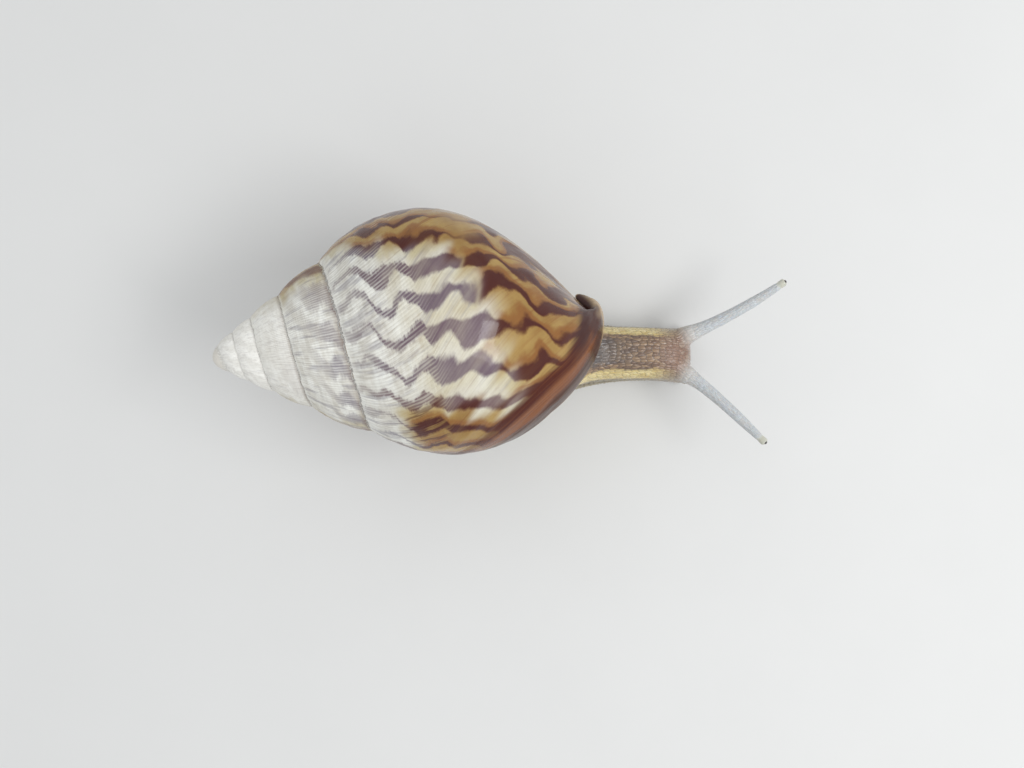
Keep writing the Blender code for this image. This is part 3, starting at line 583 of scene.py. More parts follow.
def flame_field(g, q):
    """Count of flames back from the lip: evenly spaced in the last turn, then fewer, leaning in
    steps towards the lip as the row nears the pole, and bent by slow noise."""
    x = lean_of(g, q) + layers(g, q, FLAME_BENDS) + layers(g, q, FLAME_TEETH) * rise(q, 0.9, 0.3)
    lost = FEWER_FLAMES * rise(x, *SPIRE_SPAN) * (x - SPIRE_SPAN[0])
    return FLAMES * x + FLAME_PHASE - lost


def flame_width(g, q):
    """Share of the spacing that a flame fills: wider towards the pole and changing slowly."""
    share = through(FLAME_SHARES, q)[..., 0] - 0.08 * rise(g, 0.9, 0.8)
    return share + layers(g, q, FLAME_SWELLS) + layers(g, q, FLAME_KNOTS) * rise(q, 0.95, 0.25)


def wear_fields(g, q):
    """How tan and how polished the shell is, 0 worn white to 1 golden, and how plain the flames:
    on the last whorl worn between two flames and above a row, on the spire between two sides."""
    azimuth = (SUTURE_AZIMUTH - 360 * g + 180) % 360 - 180
    blur = layers(g, q, WEAR_BLUR)
    side = np.maximum(rise(blur - azimuth, 24, 46), rise(blur + azimuth, 54, 50))
    side = side * (1 - 0.85 * rise(g, 1.2, 2.0))
    x = lean_of(g, q)
    ragged = layers(g, q, WEAR_RAGS)
    front = rise(q + ragged, 1.05, 0.34)
    near = rise(x - 0.3 * ragged, 0.365, -0.085) * rise(q + 1.6 * ragged, 0.34, 0.44)
    far = rise(x + 0.10 * q + 0.3 * ragged, 0.572, 0.090)
    gold = np.maximum(front, np.maximum(near, far))
    warm = 0.36 * rise(q, 0.30, 0.80)
    last = g < LAST_TURN
    tan = np.where(last, np.maximum(warm, gold), 0.9 * side)
    polish = np.where(last, np.maximum(rise(q, 0.95, 0.35), 0.8 * gold), 0.6 * side)
    faint = rise(g, 0.385, 0.05) * rise(q, 1.43, -0.08) * rise(q, 1.20, 0.06)
    row, half = GAP_ROW
    gap = np.exp(-((q - row + ragged) / half) ** 2) * rise(g, 0.27, 0.05)
    power = 1 - (0.72 * faint + 0.6 * gap * (1 - faint)) * last * rise(g, 0.62, -0.1)
    return {"tan": tan, "polish": polish, "power": power}


def lip_fields(g, q):
    """Distance from the lip in widths of its bands, where the nose is, and the cream rim."""
    width, widening, start, limit = BAND_WIDTH
    lip = g / (width + widening * np.clip(q - start, 0, limit)) + layers(g, q, LIP_WAVES)
    margin = (MARGIN + layers(g, q, MARGIN_WAVES)) * rise(q, 1.54, 0.20)
    on_nose = rise(q, 1.94, -0.10) * rise(margin - lip, 0.0, 0.36)
    rim = np.maximum(np.exp(-(g / EDGE_LINE) ** 2), on_nose)
    return {"lip": lip, "nose": rise(q, 1.46, 0.12), "rim": rim}


def shell_blocks():
    """Spire bands, last whorl, mouth and cap on one spiral grid, each with its growth, its row
    and how deep it lies in the mouth."""
    steps = int(round((TURNS - FIRST_TURN) * COLUMNS))
    turn = np.arange(COLUMNS, steps + 1) / COLUMNS
    v = np.linspace(0, 1, BAND_ROWS + 1)
    T, V = np.meshgrid(turn, v, indexing="ij")
    s, r = band(T, V)
    spire = to_world(ring(s, r, SUTURE_AZIMUTH - 360 * T))

    w = 1 - (1 - np.arange(1, BASE_ROWS + 1) / BASE_ROWS) ** BASE_CROWDING
    q = np.concatenate([v, 1 + w])
    U, Q = np.meshgrid(np.arange(COLUMNS + 1) / COLUMNS, q, indexing="ij")
    whorl = to_world(last_whorl(U, Q))

    mouth_rows = int(round(FLARE_TURN * COLUMNS))
    F, M = np.meshgrid(np.arange(mouth_rows + 1) / mouth_rows, q, indexing="ij")
    inside = to_world(mouth(F, M))

    # cap: the rim of the first whorl drawn in towards a middle point on the dome
    axes = np.array(shell_axes()).T
    rim = np.concatenate([spire[-COLUMNS - 1:, 0][::-1], spire[-1, 1:-1][::-1]])
    edge = (rim - APEX) @ axes
    middle = ring(0.0, CAP_CENTRE, SUTURE_AZIMUTH - 360 * turn[-1] - 90)
    off_dome = edge[:, 0] - dome(np.hypot(edge[:, 1], edge[:, 2]))
    loops = [edge]
    for f in (*CAP_LOOPS, 0.0):
        inner = middle + (edge - middle) * f
        inner[:, 0] = dome(np.hypot(inner[:, 1], inner[:, 2])) + off_dome * f * f
        loops.append(inner)
    cap = to_world(np.stack(loops))

    none = np.zeros(cap.shape[:2])
    blocks = [(spire, grid_faces(spire)), (whorl, grid_faces(whorl)),
              (inside, grid_faces(inside)), (cap, grid_faces(cap, closed=True))]
    fields = {"growth": (T, U, 0 * F, none + TURNS), "row": (V, Q, M, none + 0.5),
              "deep": (0 * T, 0 * U, F, none)}
    return blocks, {key: np.concatenate([a.ravel() for a in parts])
                    for key, parts in fields.items()}


def shell_relief(g, q, deep):
    """Height in millimetres: uneven growth ridges, stronger near the lip, and folds at the seam."""
    outer = rise(deep, 0.08, -0.08) * rise(q, 2.0, -0.25)
    ridges = layers(g, q, RIDGES) * (0.6 + 0.9 * rise(g, 0.25, -0.25))
    folds = np.exp(-(q / FOLD_ROWS) ** 2) * layers(g, q, FOLDS) * rise(g, 0.0, 0.03)
    worn_off = np.minimum(1, rise(g, 4.2, -1.5) + 0.15)
    return outer * ((ridges + folds) * worn_off + layers(g, q, DENTS) * rise(g, 2.0, -1.0))


def build_shell(settings):
    """Shell piece, its growth position, flames, polish and lip distance kept on its points."""
    mesh = welded_mesh("shell_skin", *shell_blocks())
    g, q, deep = fetch(mesh, "growth", "row", "deep")
    swell(mesh, shell_relief(g, q, deep) * settings.relief)
    flames = {"flames": flame_field(g, q), "flame_width": flame_width(g, q)}
    store(mesh, {**flames, **wear_fields(g, q), **lip_fields(g, q), "age": rise(g, 0.9, 3.2)})
    place("shell_outer", mesh, shell_material(settings), "shell", "shell")


# ---------------------------------------------------------------- mantle piece
LUMPS = ((0.07, 40.0, 60.0, 41), (0.05, 80.0, 120.0, 42))


def mantle_rings():
    """Rings across the mouth: its inside wall moved out by a gap, closed in front by a bulge.
    With them the part of the way over the front and the row of each point."""
    back_steps, front_steps, rows = COLLAR_GRID
    q = np.linspace(*COLLAR_ROWS, rows)
    F, Q = np.meshgrid(np.linspace(*COLLAR_BACK, back_steps), q, indexing="ij")
    wall = to_world(mouth(F, Q))
    across = to_world(mouth(F, Q + ROW_STEP)) - to_world(mouth(F, Q - ROW_STEP))
    normal = np.cross(np.gradient(wall, axis=0), across)
    normal /= np.linalg.norm(normal, axis=-1, keepdims=True)
    lip = to_world(mouth(np.full_like(q, LIP_EDGE), q))
    inner = to_world(mouth(np.ones_like(q), q))
    open_side = 0.5 * (lip + inner)
    flip = np.sign(np.sum(normal * (open_side - wall), -1, keepdims=True))
    wall = wall + normal * flip * COLLAR_GAP
    toward = open_side - wall[back_steps // 2]
    toward /= np.linalg.norm(toward, axis=-1, keepdims=True)
    first = wall[-1]
    last = wall[0]
    push = COLLAR_BULGE * np.linalg.norm(last - first, axis=-1, keepdims=True) * toward
    t = np.linspace(0, 1, front_steps + 2)[1:-1]
    front = bezier([first, first + push, last + push, last], t[:, None])
    rings = np.concatenate([wall, front]).transpose(1, 0, 2)
    ends = []
    for end in (rings[0], rings[-1]):
        middle = end.mean(axis=0)
        ends.append(middle + (end - middle) * COLLAR_ENDS[:, None, None])
    rings = np.concatenate([ends[0][::-1], rings, ends[1]])
    part = np.tile(np.concatenate([np.zeros(back_steps), t]), (len(rings), 1))
    row = np.pad(q, len(COLLAR_ENDS), "edge")[:, None] + 0 * part
    return rings, part, row


def build_mantle(settings):
    """Fleshy collar in the mouth, grained, with the round breathing hole on the right."""
    rings, part, row = mantle_rings()
    blocks = [(rings, grid_faces(rings, closed=True))]
    mesh = welded_mesh("mantle_skin", blocks, {"part": part, "row": row})
    part, row = fetch(mesh, "part", "row")
    hole = np.hypot((part - HOLE_AT[0]) / HOLE_SIZE[0], (row - HOLE_AT[1]) / HOLE_SIZE[1])
    front = smooth(part / 0.06) * smooth((1 - part) / 0.06)
    height = layers(part, row, LUMPS) * front - HOLE_DEPTH * rise(hole, 1.25, -1.0)
    height = height + HOLE_LIP * np.exp(-((hole - 1.35) / 0.3) ** 2) - COLLAR_SINK
    swell(mesh, height)
    # the hole's inside as a mask, painted near black in the flesh as shade
    store(mesh, {"hole": rise(hole, 1.15, -1.0)})
    place("mantle_collar_flesh", mesh, mantle_material(settings), "mantle", "mantle_collar")


# ---------------------------------------------------------------- skin piece
BODY_STEPS = 280                      # rings along the body
SIDE_STEPS = 44                       # points from the flank to the top
LOW_STEPS = 26                        # and from under the middle round the rim
CELL = 0.5                            # of the level grid that holds the shell's underside
FIELD_LOW = np.array([-45.0, -25.0])
FIELD_SIZE = np.array([200, 110])
FAR_UP = 99.0                         # where there is no shell above
LOWEST = 0.6                          # the skin is never pressed lower than this
NEAR_FLAT = 0.06                      # heights below this are flattened onto the sole
WARP = ((0.6, 0.35, 2.0, 51),)        # slow bending of the rows of warts
WART_SIZE = (1.5, 1.1)                # millimetres along and around
WART_JITTER = (0.9, 0.7)
BEAD_WIDTH = 0.62                     # of the finer beads in the colour
RIB_LONG = 0.62                       # spacing of the ribs on the rim of the sole
RIB_WAVES = ((2.2, 0.9, 1.2, 54),)
AXIS_PART = 0.32                      # height of the rows' axis over the body's height
FLANK_ROLL = 6.0                      # millimetres down the flank for one radian
FINEST = 0.02                         # keeps the rows' angle steady on their axis
HORN_NEAR = 2.6                       # an upper tentacle's skin lies this near its guide curve
FEELER_NEAR = 1.35                    # and a lower tentacle's this near
TIP_NEAR = 3.0                        # and a bulb's this near its start
WART_HEIGHT = (0.02, 0.17)            # on the back, and how much more low on the flanks
WART_SINK = (0.05, 0.15)              # warts and joints both lie lower by this
RIB_HEIGHT = 0.05
TIP_SINK = 0.13
SLIT = (0.05, 0.22, 0.45)             # middle, half width and depth of the mouth's slit
SLIT_FLOOR = 1.4                      # height above which it is cut


def body_rings(x):
    """Cross-sections along x: a flat sole, a thin rim, and flanks and back on a squared ellipse."""
    middle, sole, half, top, chin, lean = through(STATIONS, x).T[:, :, None]
    rim = np.minimum(SKIRT, SKIRT_PART * (top - chin))
    shoulder = chin + SHOULDER * rim
    corners_y = [part * sole for part in RIM_Y] + [half]
    corners_z = [chin + part * rim for part in RIM_Z] + [shoulder]
    t = np.linspace(0, len(RIM_Y), LOW_STEPS)
    share = np.maximum(0, 1 - np.abs(t - np.arange(len(corners_y))[:, None]))
    low_y = sum(c * part for c, part in zip(corners_y, share))
    low_z = sum(c * part for c, part in zip(corners_z, share))
    angle = np.linspace(0, math.pi / 2, SIDE_STEPS)[None, 1:]
    y = np.concatenate([low_y, half * np.cos(angle) ** FLANK_POWERS[0]], 1)
    z = np.concatenate([low_z, shoulder + (top - shoulder) * np.sin(angle) ** FLANK_POWERS[1]], 1)
    ys = np.concatenate([y, -y[:, -2:0:-1]], 1)
    zs = np.concatenate([z, z[:, -2:0:-1]], 1)
    return np.stack([np.broadcast_to(x[:, None], ys.shape), middle + ys + lean * rise(zs, *LEAN),
                     zs], -1)


def closed_loft(rings):
    """Rings joined by quads, each end drawn in to its middle point."""
    ends = [np.repeat(end.mean(axis=1, keepdims=True), rings.shape[1], axis=1)
            for end in (rings[:1], rings[-1:])]
    rings = np.concatenate([ends[0], rings, ends[1]])
    return rings, grid_faces(rings, closed=True)


def circles(centres, side, up, radii, facets):
    """Circles round points: radius times cosine of side plus sine of up."""
    a = np.arange(facets)[:, None] * 2 * math.pi / facets
    spoke = np.cos(a) * side[:, None] + np.sin(a) * up[:, None]
    return closed_loft(centres[:, None] + radii[:, None] * spoke)


def tube(guide, radii, end, steps):
    """Circles of a changing radius, square to a guide curve."""
    t = np.linspace(0.0, end, steps)
    centres = bezier(guide, t)
    tangent = np.gradient(centres, axis=0)
    tangent /= np.linalg.norm(tangent, axis=1, keepdims=True)
    side = np.cross(tangent, [0.0, 0.0, 1.0])
    side /= np.linalg.norm(side, axis=1, keepdims=True)
    return circles(centres, side, np.cross(side, tangent), through(radii, t), 40)


def bulb(guide):
    """Rounded tip: circles of BULB_RADIUS times a power of the sine, along the stalk's end."""
    at, forward, side, up = bulb_frame(guide)
    p = np.linspace(*BULB_ARC, 24)[:, None] * math.pi
    centre = at + forward * BULB_LONG * (math.cos(math.pi * BULB_FROM) - np.cos(p))
    return circles(centre, side[None], up[None], BULB_RADIUS * np.sin(p) ** BULB_POWER, 40)


def ellipsoid(centre, radii, rows, facets):
    """Circles along x scaled to an ellipsoid."""
    p = np.linspace(*BALL_ENDS, rows)[:, None] * math.pi
    axes = np.diag(radii)
    return circles(centre + np.cos(p) * axes[0], axes[1:2], axes[2:], np.sin(p), facets)


def underside():
    """Lowest height of the shell and the mantle over each cell of a level grid, made softer
    only where that doesn't raise it."""
    q = np.linspace(0, 2, 220)
    outer = to_world(last_whorl(np.linspace(0, 1, 420)[:, None], q[None]))
    inner = to_world(mouth(np.linspace(0, 1, 120)[:, None], q[None]))
    T, V = np.meshgrid(np.linspace(1, 3, 500), np.linspace(0, 1, 60), indexing="ij")
    s, r = band(T, V)
    upper = to_world(ring(s, r, SUTURE_AZIMUTH - 360 * T))
    collar = mantle_rings()[0] - [0, 0, SHELL_GAP]
    points = np.concatenate([p.reshape(-1, 3) for p in (outer, inner, upper, collar)])
    index = ((points[:, :2] - FIELD_LOW) / CELL).astype(int)
    index = np.clip(index, 0, FIELD_SIZE - 1)
    height = np.full(FIELD_SIZE, FAR_UP)
    np.minimum.at(height, (index[:, 0], index[:, 1]), points[:, 2])
    wide = height.copy()
    for dx in (-1, 0, 1):
        for dy in (-1, 0, 1):
            wide = np.minimum(wide, np.roll(height, (dx, dy), (0, 1)))
    soft = wide
    for _ in range(3):
        spread = sum(np.roll(soft, d, a) for d in (-1, 1) for a in (0, 1)) / 4
        soft = np.where(wide < FAR_UP, np.minimum(wide, 0.5 * (soft + spread)), wide)
    return soft


def under_shell(points):
    """Hold points below the shell's and the mantle's underside by an even gap."""
    height = underside()
    at = np.clip((points[..., :2] - FIELD_LOW) / CELL - 0.5, 0, FIELD_SIZE - 1.001)
    i, j = np.moveaxis(at.astype(int), -1, 0)
    f, k = np.moveaxis(at, -1, 0) - (i, j)
    over = sum(height[i + a, j + b] * abs(1 - a - f) * abs(1 - b - k)
               for a in (0, 1) for b in (0, 1))
    held = points.copy()
    held[..., 2] = np.minimum(points[..., 2], np.maximum(over - SHELL_GAP, LOWEST))
    return held


def skin_blocks():
    """All the closed lofts that the skin is drawn over."""
    x = np.linspace(STATIONS[0, 0], STATIONS[-1, 0], BODY_STEPS)
    blocks = [closed_loft(under_shell(body_rings(x)))]
    for horn, feeler in ((HORN_LEFT, FEELER_LEFT), (HORN_RIGHT, FEELER_RIGHT)):
        blocks += [
            tube(horn, HORN_RADII, STALK_END, 110), bulb(horn),
            tube(feeler, FEELER_RADII, 1.0, 30), ellipsoid(feeler[-1], FEELER_KNOB, 16, 24),
        ]
    return blocks + [ellipsoid(MOUTH_AT, MOUTH_RADII, 24, 32)]


def near_guide(points, guide, steps):
    """Distance of points to a guide curve and the place along it, 0 to 1."""
    best = np.full(len(points), np.inf)
    where = np.zeros(len(points))
    for t in np.linspace(0, 1, steps):
        d = np.sum((points - bezier(guide, t)) ** 2, -1)
        nearer = d < best
        best = np.where(nearer, d, best)
        where = np.where(nearer, t, where)
    return np.sqrt(best), where


def relax(points, edges, shares):
    """Move points towards the mean of their neighbours, once for each share of the way."""
    n = len(points)
    a, b = edges.T
    degree = np.bincount(a, minlength=n) + np.bincount(b, minlength=n)
    for share in shares:
        mean = np.stack([
            np.bincount(a, points[b, c], n) + np.bincount(b, points[a, c], n) for c in range(3)
        ], -1) / degree[:, None]
        points = points + (mean - points) * share
    return points


def horn_places(points):
    """On an upper tentacle, how far along and round it, and how near its tip and the tip's end."""
    n = len(points)
    on, reach, turn, tip, end = np.zeros((5, n))
    nearest = np.full(n, np.inf)
    for guide in (HORN_LEFT, HORN_RIGHT):
        d, t = near_guide(points, guide, 90)
        at, forward, side, up = bulb_frame(guide)
        local = points - bezier(guide, t)
        closer = d < nearest
        nearest = np.where(closer, d, nearest)
        reach = np.where(closer, t, reach)
        turn = np.where(closer, np.arctan2(local @ side, local @ up), turn)
        on = np.maximum(on, rise(t, 0.10, 0.14) * (d < HORN_NEAR))
        ahead = np.clip((points - at) @ forward / BULB_LONG, -3, 3)
        near_tip = np.linalg.norm(points - at, axis=1) < TIP_NEAR
        tip = np.maximum(tip, rise(ahead, -0.55, 0.8) * near_tip)
        end = np.maximum(end, rise(ahead, 0.8, 0.4) * near_tip)
    for guide in (FEELER_LEFT, FEELER_RIGHT):
        d, t = near_guide(points, guide, 30)
        on = np.maximum(on, 0.5 * rise(t, 0.25, 0.3) * (d < FEELER_NEAR))
    return on, reach, turn, tip, end


def skin_relief(points):
    """Height of warts, grooves and wrinkles in millimetres, and the masks that colour them."""
    horn, reach, turn, tip, end = horn_places(points)
    x, y, z = points.T
    inside = np.clip(x, STATIONS[0, 0], STATIONS[-1, 0])
    middle, sole, _, top, _, lean = through(STATIONS, inside).T
    y = y - middle - lean * rise(z, *LEAN)
    up = z - AXIS_PART * top
    angle = np.where(up < 0, np.sign(y) * (math.pi / 2 - up / FLANK_ROLL),
                     np.arctan2(y, np.maximum(up, FINEST)))
    side = np.abs(angle)

    # lengthwise rows of warts, larger low on the flanks, running into the mouth in front
    warp = layers(x, angle, WARP)
    low = rise(side, 0.95, 0.5) * rise(x, 24.0, -5.0)
    front = rise(x, 27.5, 3.0) * np.maximum(0, 3.0 - np.hypot(y, z - 0.45 * top))
    along = x + warp + front
    around = y * (1 + np.maximum(0, top - z) / np.hypot(y, 0.8)) + 0.2 * warp
    first, second, own = cells(along / WART_SIZE[0], around / WART_SIZE[1], 52, *WART_JITTER)
    wart = WART_HEIGHT[0] + WART_HEIGHT[1] * low
    wart = wart * (1 - (first / np.maximum(second, TINY)) ** 2.2)
    skirt = rise(z, 1.55, -0.5) * rise(np.abs(y) - 0.80 * sole, 0.0, 0.4)
    ribs = RIB_HEIGHT * np.sin(x * 2 * math.pi / RIB_LONG + layers(x, z, RIB_WAVES))
    sink = WART_SINK[0] + WART_SINK[1] * low
    height = (wart * (1 - skirt) - sink) * (1 - horn) + ribs * skirt
    height = height * (1 - rise(z, 0.12, -0.1)) - TIP_SINK * tip * (1 - end)

    # mouth: an upright slit between two lobes
    centre, half, depth = SLIT
    slit = np.exp(-((y - centre) / half) ** 2) * rise(z, 3.9, -0.8) * rise(x, 29.6, 0.6)
    height = height - depth * slit * (z > SLIT_FLOOR)
    return height, {
        "groove": rise(second - first, 0.30, -0.30) * (1 - horn) * (1 - 0.8 * skirt),
        "own": own, "low": low, "along": along, "around": around / BEAD_WIDTH, "horn": horn,
        "reach": reach, "turn": turn, "tip": tip, "skirt": skirt, "head": rise(x, 23.0, 5.5),
        "side": side, "slit": slit,
    }


def build_skin(settings):
    """One skin over foot, neck, head and tentacles, its joints filleted and its surface warted."""
    mesh = welded_mesh("skin_draft", skin_blocks())
    draft = bpy.data.objects.new("skin_draft", mesh)
    bpy.context.scene.collection.objects.link(draft)
    remesh = draft.modifiers.new("even", "REMESH")
    remesh.mode = "VOXEL"
    remesh.voxel_size = settings.voxel * 1.0
    graph = bpy.context.evaluated_depsgraph_get()
    skin = bpy.data.meshes.new_from_object(draft.evaluated_get(graph))
    bpy.data.objects.remove(draft, do_unlink=True)
    bpy.data.meshes.remove(mesh)
    skin.name = "skin_mesh"

    edges = np.empty(len(skin.edges) * 2, np.int64)
    skin.edges.foreach_get("vertices", edges)
    edges = edges.reshape(-1, 2)
    points = relax(get_points(skin), edges, EVEN_OUT)
    root = np.zeros(len(points))
    for guide, at, size in ROOTS:
        away = np.linalg.norm(points - bezier(guide, at), axis=1) / size
        root = np.maximum(root, rise(away, 1.6, -1.0))
    points = relax(points, edges, [np.minimum(0.5, root)[:, None]] * FILLET_TIMES)
    points[:, 2] = np.where(points[:, 2] < NEAR_FLAT, 0.0, points[:, 2])
    set_points(skin, points)
    height, masks = skin_relief(points)
    moved = points + get_normals(skin) * height[:, None] * settings.relief
    moved[:, 2] = np.maximum(moved[:, 2], 0.0)
    set_points(skin, moved)
    store(skin, masks)
    place(
        "snail_skin", skin, skin_material(settings), "skin",
        "foot", "tail", "neck", "head", "mouth_lobes", "lower_tentacle_left",
        "lower_tentacle_right", "tentacle_base_left", "tentacle_base_right",
        "tentacle_stalk_left", "tentacle_stalk_right", "tentacle_tip_left", "tentacle_tip_right",
    )


# ---------------------------------------------------------------- eye pieces
EYE_GRID = (33, 48)                   # rings from pole to pole, and points in each


def build_eye(node, material):
    """Round dark eye in the middle of the CAD eye's box and of its size."""
    low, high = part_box(node)
    radius = 0.5 * max(np.subtract(high, low)) / MM
    rings, facets = EYE_GRID
    p = np.linspace(0, math.pi, rings)[:, None]
    a = np.arange(facets)[None] * 2 * math.pi / facets
    unit = np.stack([np.sin(p) * np.cos(a), np.sin(p) * np.sin(a), np.cos(p) + 0 * a], -1)
    ball = cad_middle(node) - SHIFT + radius * unit
    mesh = welded_mesh(node + "_ball", [(ball, grid_faces(ball, closed=True))])
    place(node + "_ball", mesh, material, "eye", node)


# ---------------------------------------------------------------- materials
# fineness of the shared grain in each finish, in clouds per metre
SHELL_GRAIN = 260.0
SKIN_GRAIN = 420.0
MANTLE_GRAIN = 500.0
EYE_GRAIN = 2500.0
FLOOR_GRAIN = 30.0
# heights of the finishes' bumps, in metres
SHELL_BUMP = 0.00011
SKIN_BUMP = 0.00016
MANTLE_BUMP = 0.00010
BEAD_LENGTH = 1.15                    # of the body's beads, over their width
HORN_BEADS = (30.0, 3.4, 1.5)         # on a tentacle: along it, per radian, length over width
RIB_BEND = 14.0                       # radians that the shell's ribs wander
PORE_FINENESS = 7.0                   # of the grain's pores, over its clouds


class Wire:
    """Number, vector or colour in a node tree; sums with it add nodes."""

    def __init__(self, graph, socket):
        """Keep the graph and the socket that the value comes from."""
        self.graph = graph
        self.socket = socket

    def __add__(self, other):
        """Sum of two numbers."""
        return self.graph.math("ADD", self, other)

    def __sub__(self, other):
        """This number less another."""
        return self.graph.math("SUBTRACT", self, other)

    def __rsub__(self, other):
        """Another number less this one."""
        return self.graph.math("SUBTRACT", other, self)

    def __mul__(self, other):
        """Product of two numbers."""
        return self.graph.math("MULTIPLY", self, other)

    def most(self, other):
        """The larger of two numbers."""
        return self.graph.math("MAXIMUM", self, other)

    def step(self, low, high, start=0.0, end=1.0):
        """Smooth rise from start to end while the number goes from low to high."""
        node = self.graph.add("ShaderNodeMapRange", interpolation_type="SMOOTHSTEP", clamp=True)
        return self.graph.fill(node, self, low, high, start, end)


class Graph:
    """Adds and joins the nodes of one node tree."""

    def __init__(self, tree):
        """Keep the node tree."""
        self.tree = tree

    def add(self, kind, **settings):
        """New node with its settings."""
        node = self.tree.nodes.new(kind)
        for key, value in settings.items():
            setattr(node, key, value)
        return node

    def feed(self, socket, value):
        """Join a socket to a wire, or give it a number or a colour."""
        if isinstance(value, Wire):
            self.tree.links.new(value.socket, socket)
        elif socket.type == "RGBA":
            socket.default_value = (*value, 1.0)
        else:
            socket.default_value = value

    def fill(self, node, *values):
        """Feed the first sockets of a node; the wire of its first output, if it has one."""
        for socket, value in zip(node.inputs, values):
            self.feed(socket, value)
        return Wire(self, node.outputs[0]) if node.outputs else None

    def math(self, operation, *values):
        """Number worked out from numbers."""
        return self.fill(self.add("ShaderNodeMath", operation=operation), *values)

    def mix(self, factor, a, b):
        """Blend of two colours."""
        node = self.add("ShaderNodeMix", data_type="RGBA", blend_type="MIX")
        for at, value in ((0, factor), (6, a), (7, b)):
            self.feed(node.inputs[at], value)
        return Wire(self, node.outputs[2])

    def layered(self, colour, *coats):
        """Colour with coats over it in order, each a mask and a colour."""
        for mask, coat in coats:
            colour = self.mix(mask, colour, coat)
        return colour

    def numbers(self, *keys):
        """Numbers kept on the points of the piece."""
        return [Wire(self, self.add("ShaderNodeAttribute", attribute_name=key).outputs[2])
                for key in keys]

    def vector(self, x, y, z=0.0):
        """Three numbers as one vector."""
        return self.fill(self.add("ShaderNodeCombineXYZ"), x, y, z)

    def noise(self, vector, scale, detail, rough):
        """Noise from 0 to 1 at a vector."""
        node = self.add("ShaderNodeTexNoise")
        inputs = {"Vector": vector, "Scale": scale, "Detail": detail, "Roughness": rough}
        for key, value in inputs.items():
            self.feed(node.inputs[key], value)
        return Wire(self, node.outputs[0])

    def place(self):
        """Position on the piece in metres."""
        return Wire(self, self.add("ShaderNodeTexCoord").outputs["Object"])

    def bump(self, height, distance, strength):
        """Normal tilted by a height, distance in metres."""
        node = self.add("ShaderNodeBump")
        inputs = {"Height": height, "Distance": distance, "Strength": strength}
        for key, value in inputs.items():
            self.feed(node.inputs[key], value)
        return Wire(self, node.outputs[0])

    def group(self, tree, *values):
        """Place a shared group; the wires of its outputs."""
        node = self.add("ShaderNodeGroup", node_tree=tree)
        self.fill(node, *values)
        return [Wire(self, socket) for socket in node.outputs]

    def finish(self, inputs):
        """Shader with its named inputs fed, joined to the material's output."""
        shader = self.add("ShaderNodeBsdfPrincipled")
        for key, value in inputs.items():
            self.feed(shader.inputs[key], value)
        self.fill(self.add("ShaderNodeOutputMaterial"), Wire(self, shader.outputs[0]))


def new_material(name):
    """Material with an empty graph."""
    material = bpy.data.materials.new(name)
    material.use_nodes = True
    material.node_tree.nodes.clear()
    return material, Graph(material.node_tree)


def shared_group(name, inputs, outputs, work):
    """Group made once, with number inputs of given defaults; work gives its outputs' wires."""
    if name not in bpy.data.node_groups:
        group = bpy.data.node_groups.new(name, "ShaderNodeTree")
        for key, default in inputs.items():
            socket = group.interface.new_socket(
                key, in_out="INPUT", socket_type="NodeSocketFloat")
            socket.default_value = default
        for key in outputs:
            group.interface.new_socket(key, in_out="OUTPUT", socket_type="NodeSocketFloat")
        graph = Graph(group)
        sources = graph.add("NodeGroupInput").outputs[:len(inputs)]
        target = graph.add("NodeGroupOutput")
        results = work(graph, *[Wire(graph, socket) for socket in sources])
        for socket, wire in zip(target.inputs, results):
            graph.feed(socket, wire)
    return bpy.data.node_groups[name]


def grain_work(graph, size):
    """Clouds and pores: noises on the piece's own position, the pores much finer."""
    clouds = graph.noise(graph.place(), size, 4.0, 0.6)
    return clouds, graph.noise(graph.place(), size * PORE_FINENESS, 3.0, 0.6)


def grain(graph, size):
    """Place the shared grain in a material; clouds and pores."""
    tree = shared_group("fine_grain", {"Size": 1000.0}, ("Clouds", "Pores"), grain_work)
    return graph.group(tree, size)


def bead_work(graph, along, around, length):
    """Cells of a pattern stretched by length: their domes, their grooves and own numbers."""
    spot = graph.vector(graph.math("DIVIDE", along, length), around)
    found = []
    for feature in ("F1", "DISTANCE_TO_EDGE"):
        node = graph.add("ShaderNodeTexVoronoi", voronoi_dimensions="2D", feature=feature)
        inputs = {"Vector": spot, "Scale": 1.0, "Randomness": 0.72}
        for key, value in inputs.items():
            graph.feed(node.inputs[key], value)
        found.append(node.outputs)
    middle, border = found
    own = graph.fill(graph.add("ShaderNodeSeparateColor"), Wire(graph, middle["Color"]))
    dome_shape = Wire(graph, middle["Distance"]).step(0.75, 0.0)
    return dome_shape, Wire(graph, border["Distance"]).step(0.13, 0.01), own


def beads(graph, along, around, length):
    """Place the shared beads in a material; dome, groove and own number."""
    inputs = {"Along": 0.0, "Around": 0.0, "Length": 1.0}
    tree = shared_group("skin_beads", inputs, ("Dome", "Groove", "Own"), bead_work)
    return graph.group(tree, along, around, length)


# noises in the shell's colour: scales along the growth and the row, seed, detail, roughness
SHELL_NOISES = (
    (210.0, 3.0, 1.0, 3.0, 0.55), (7.0, 1.6, 6.0, 2.0, 0.5), (9.0, 30.0, 2.0, 2.0, 0.5),
    (16.0, 6.0, 3.0, 3.0, 0.5), (75.0, 1.6, 4.0, 3.0, 0.6), (60.0, 22.0, 5.0, 3.0, 0.65),
)


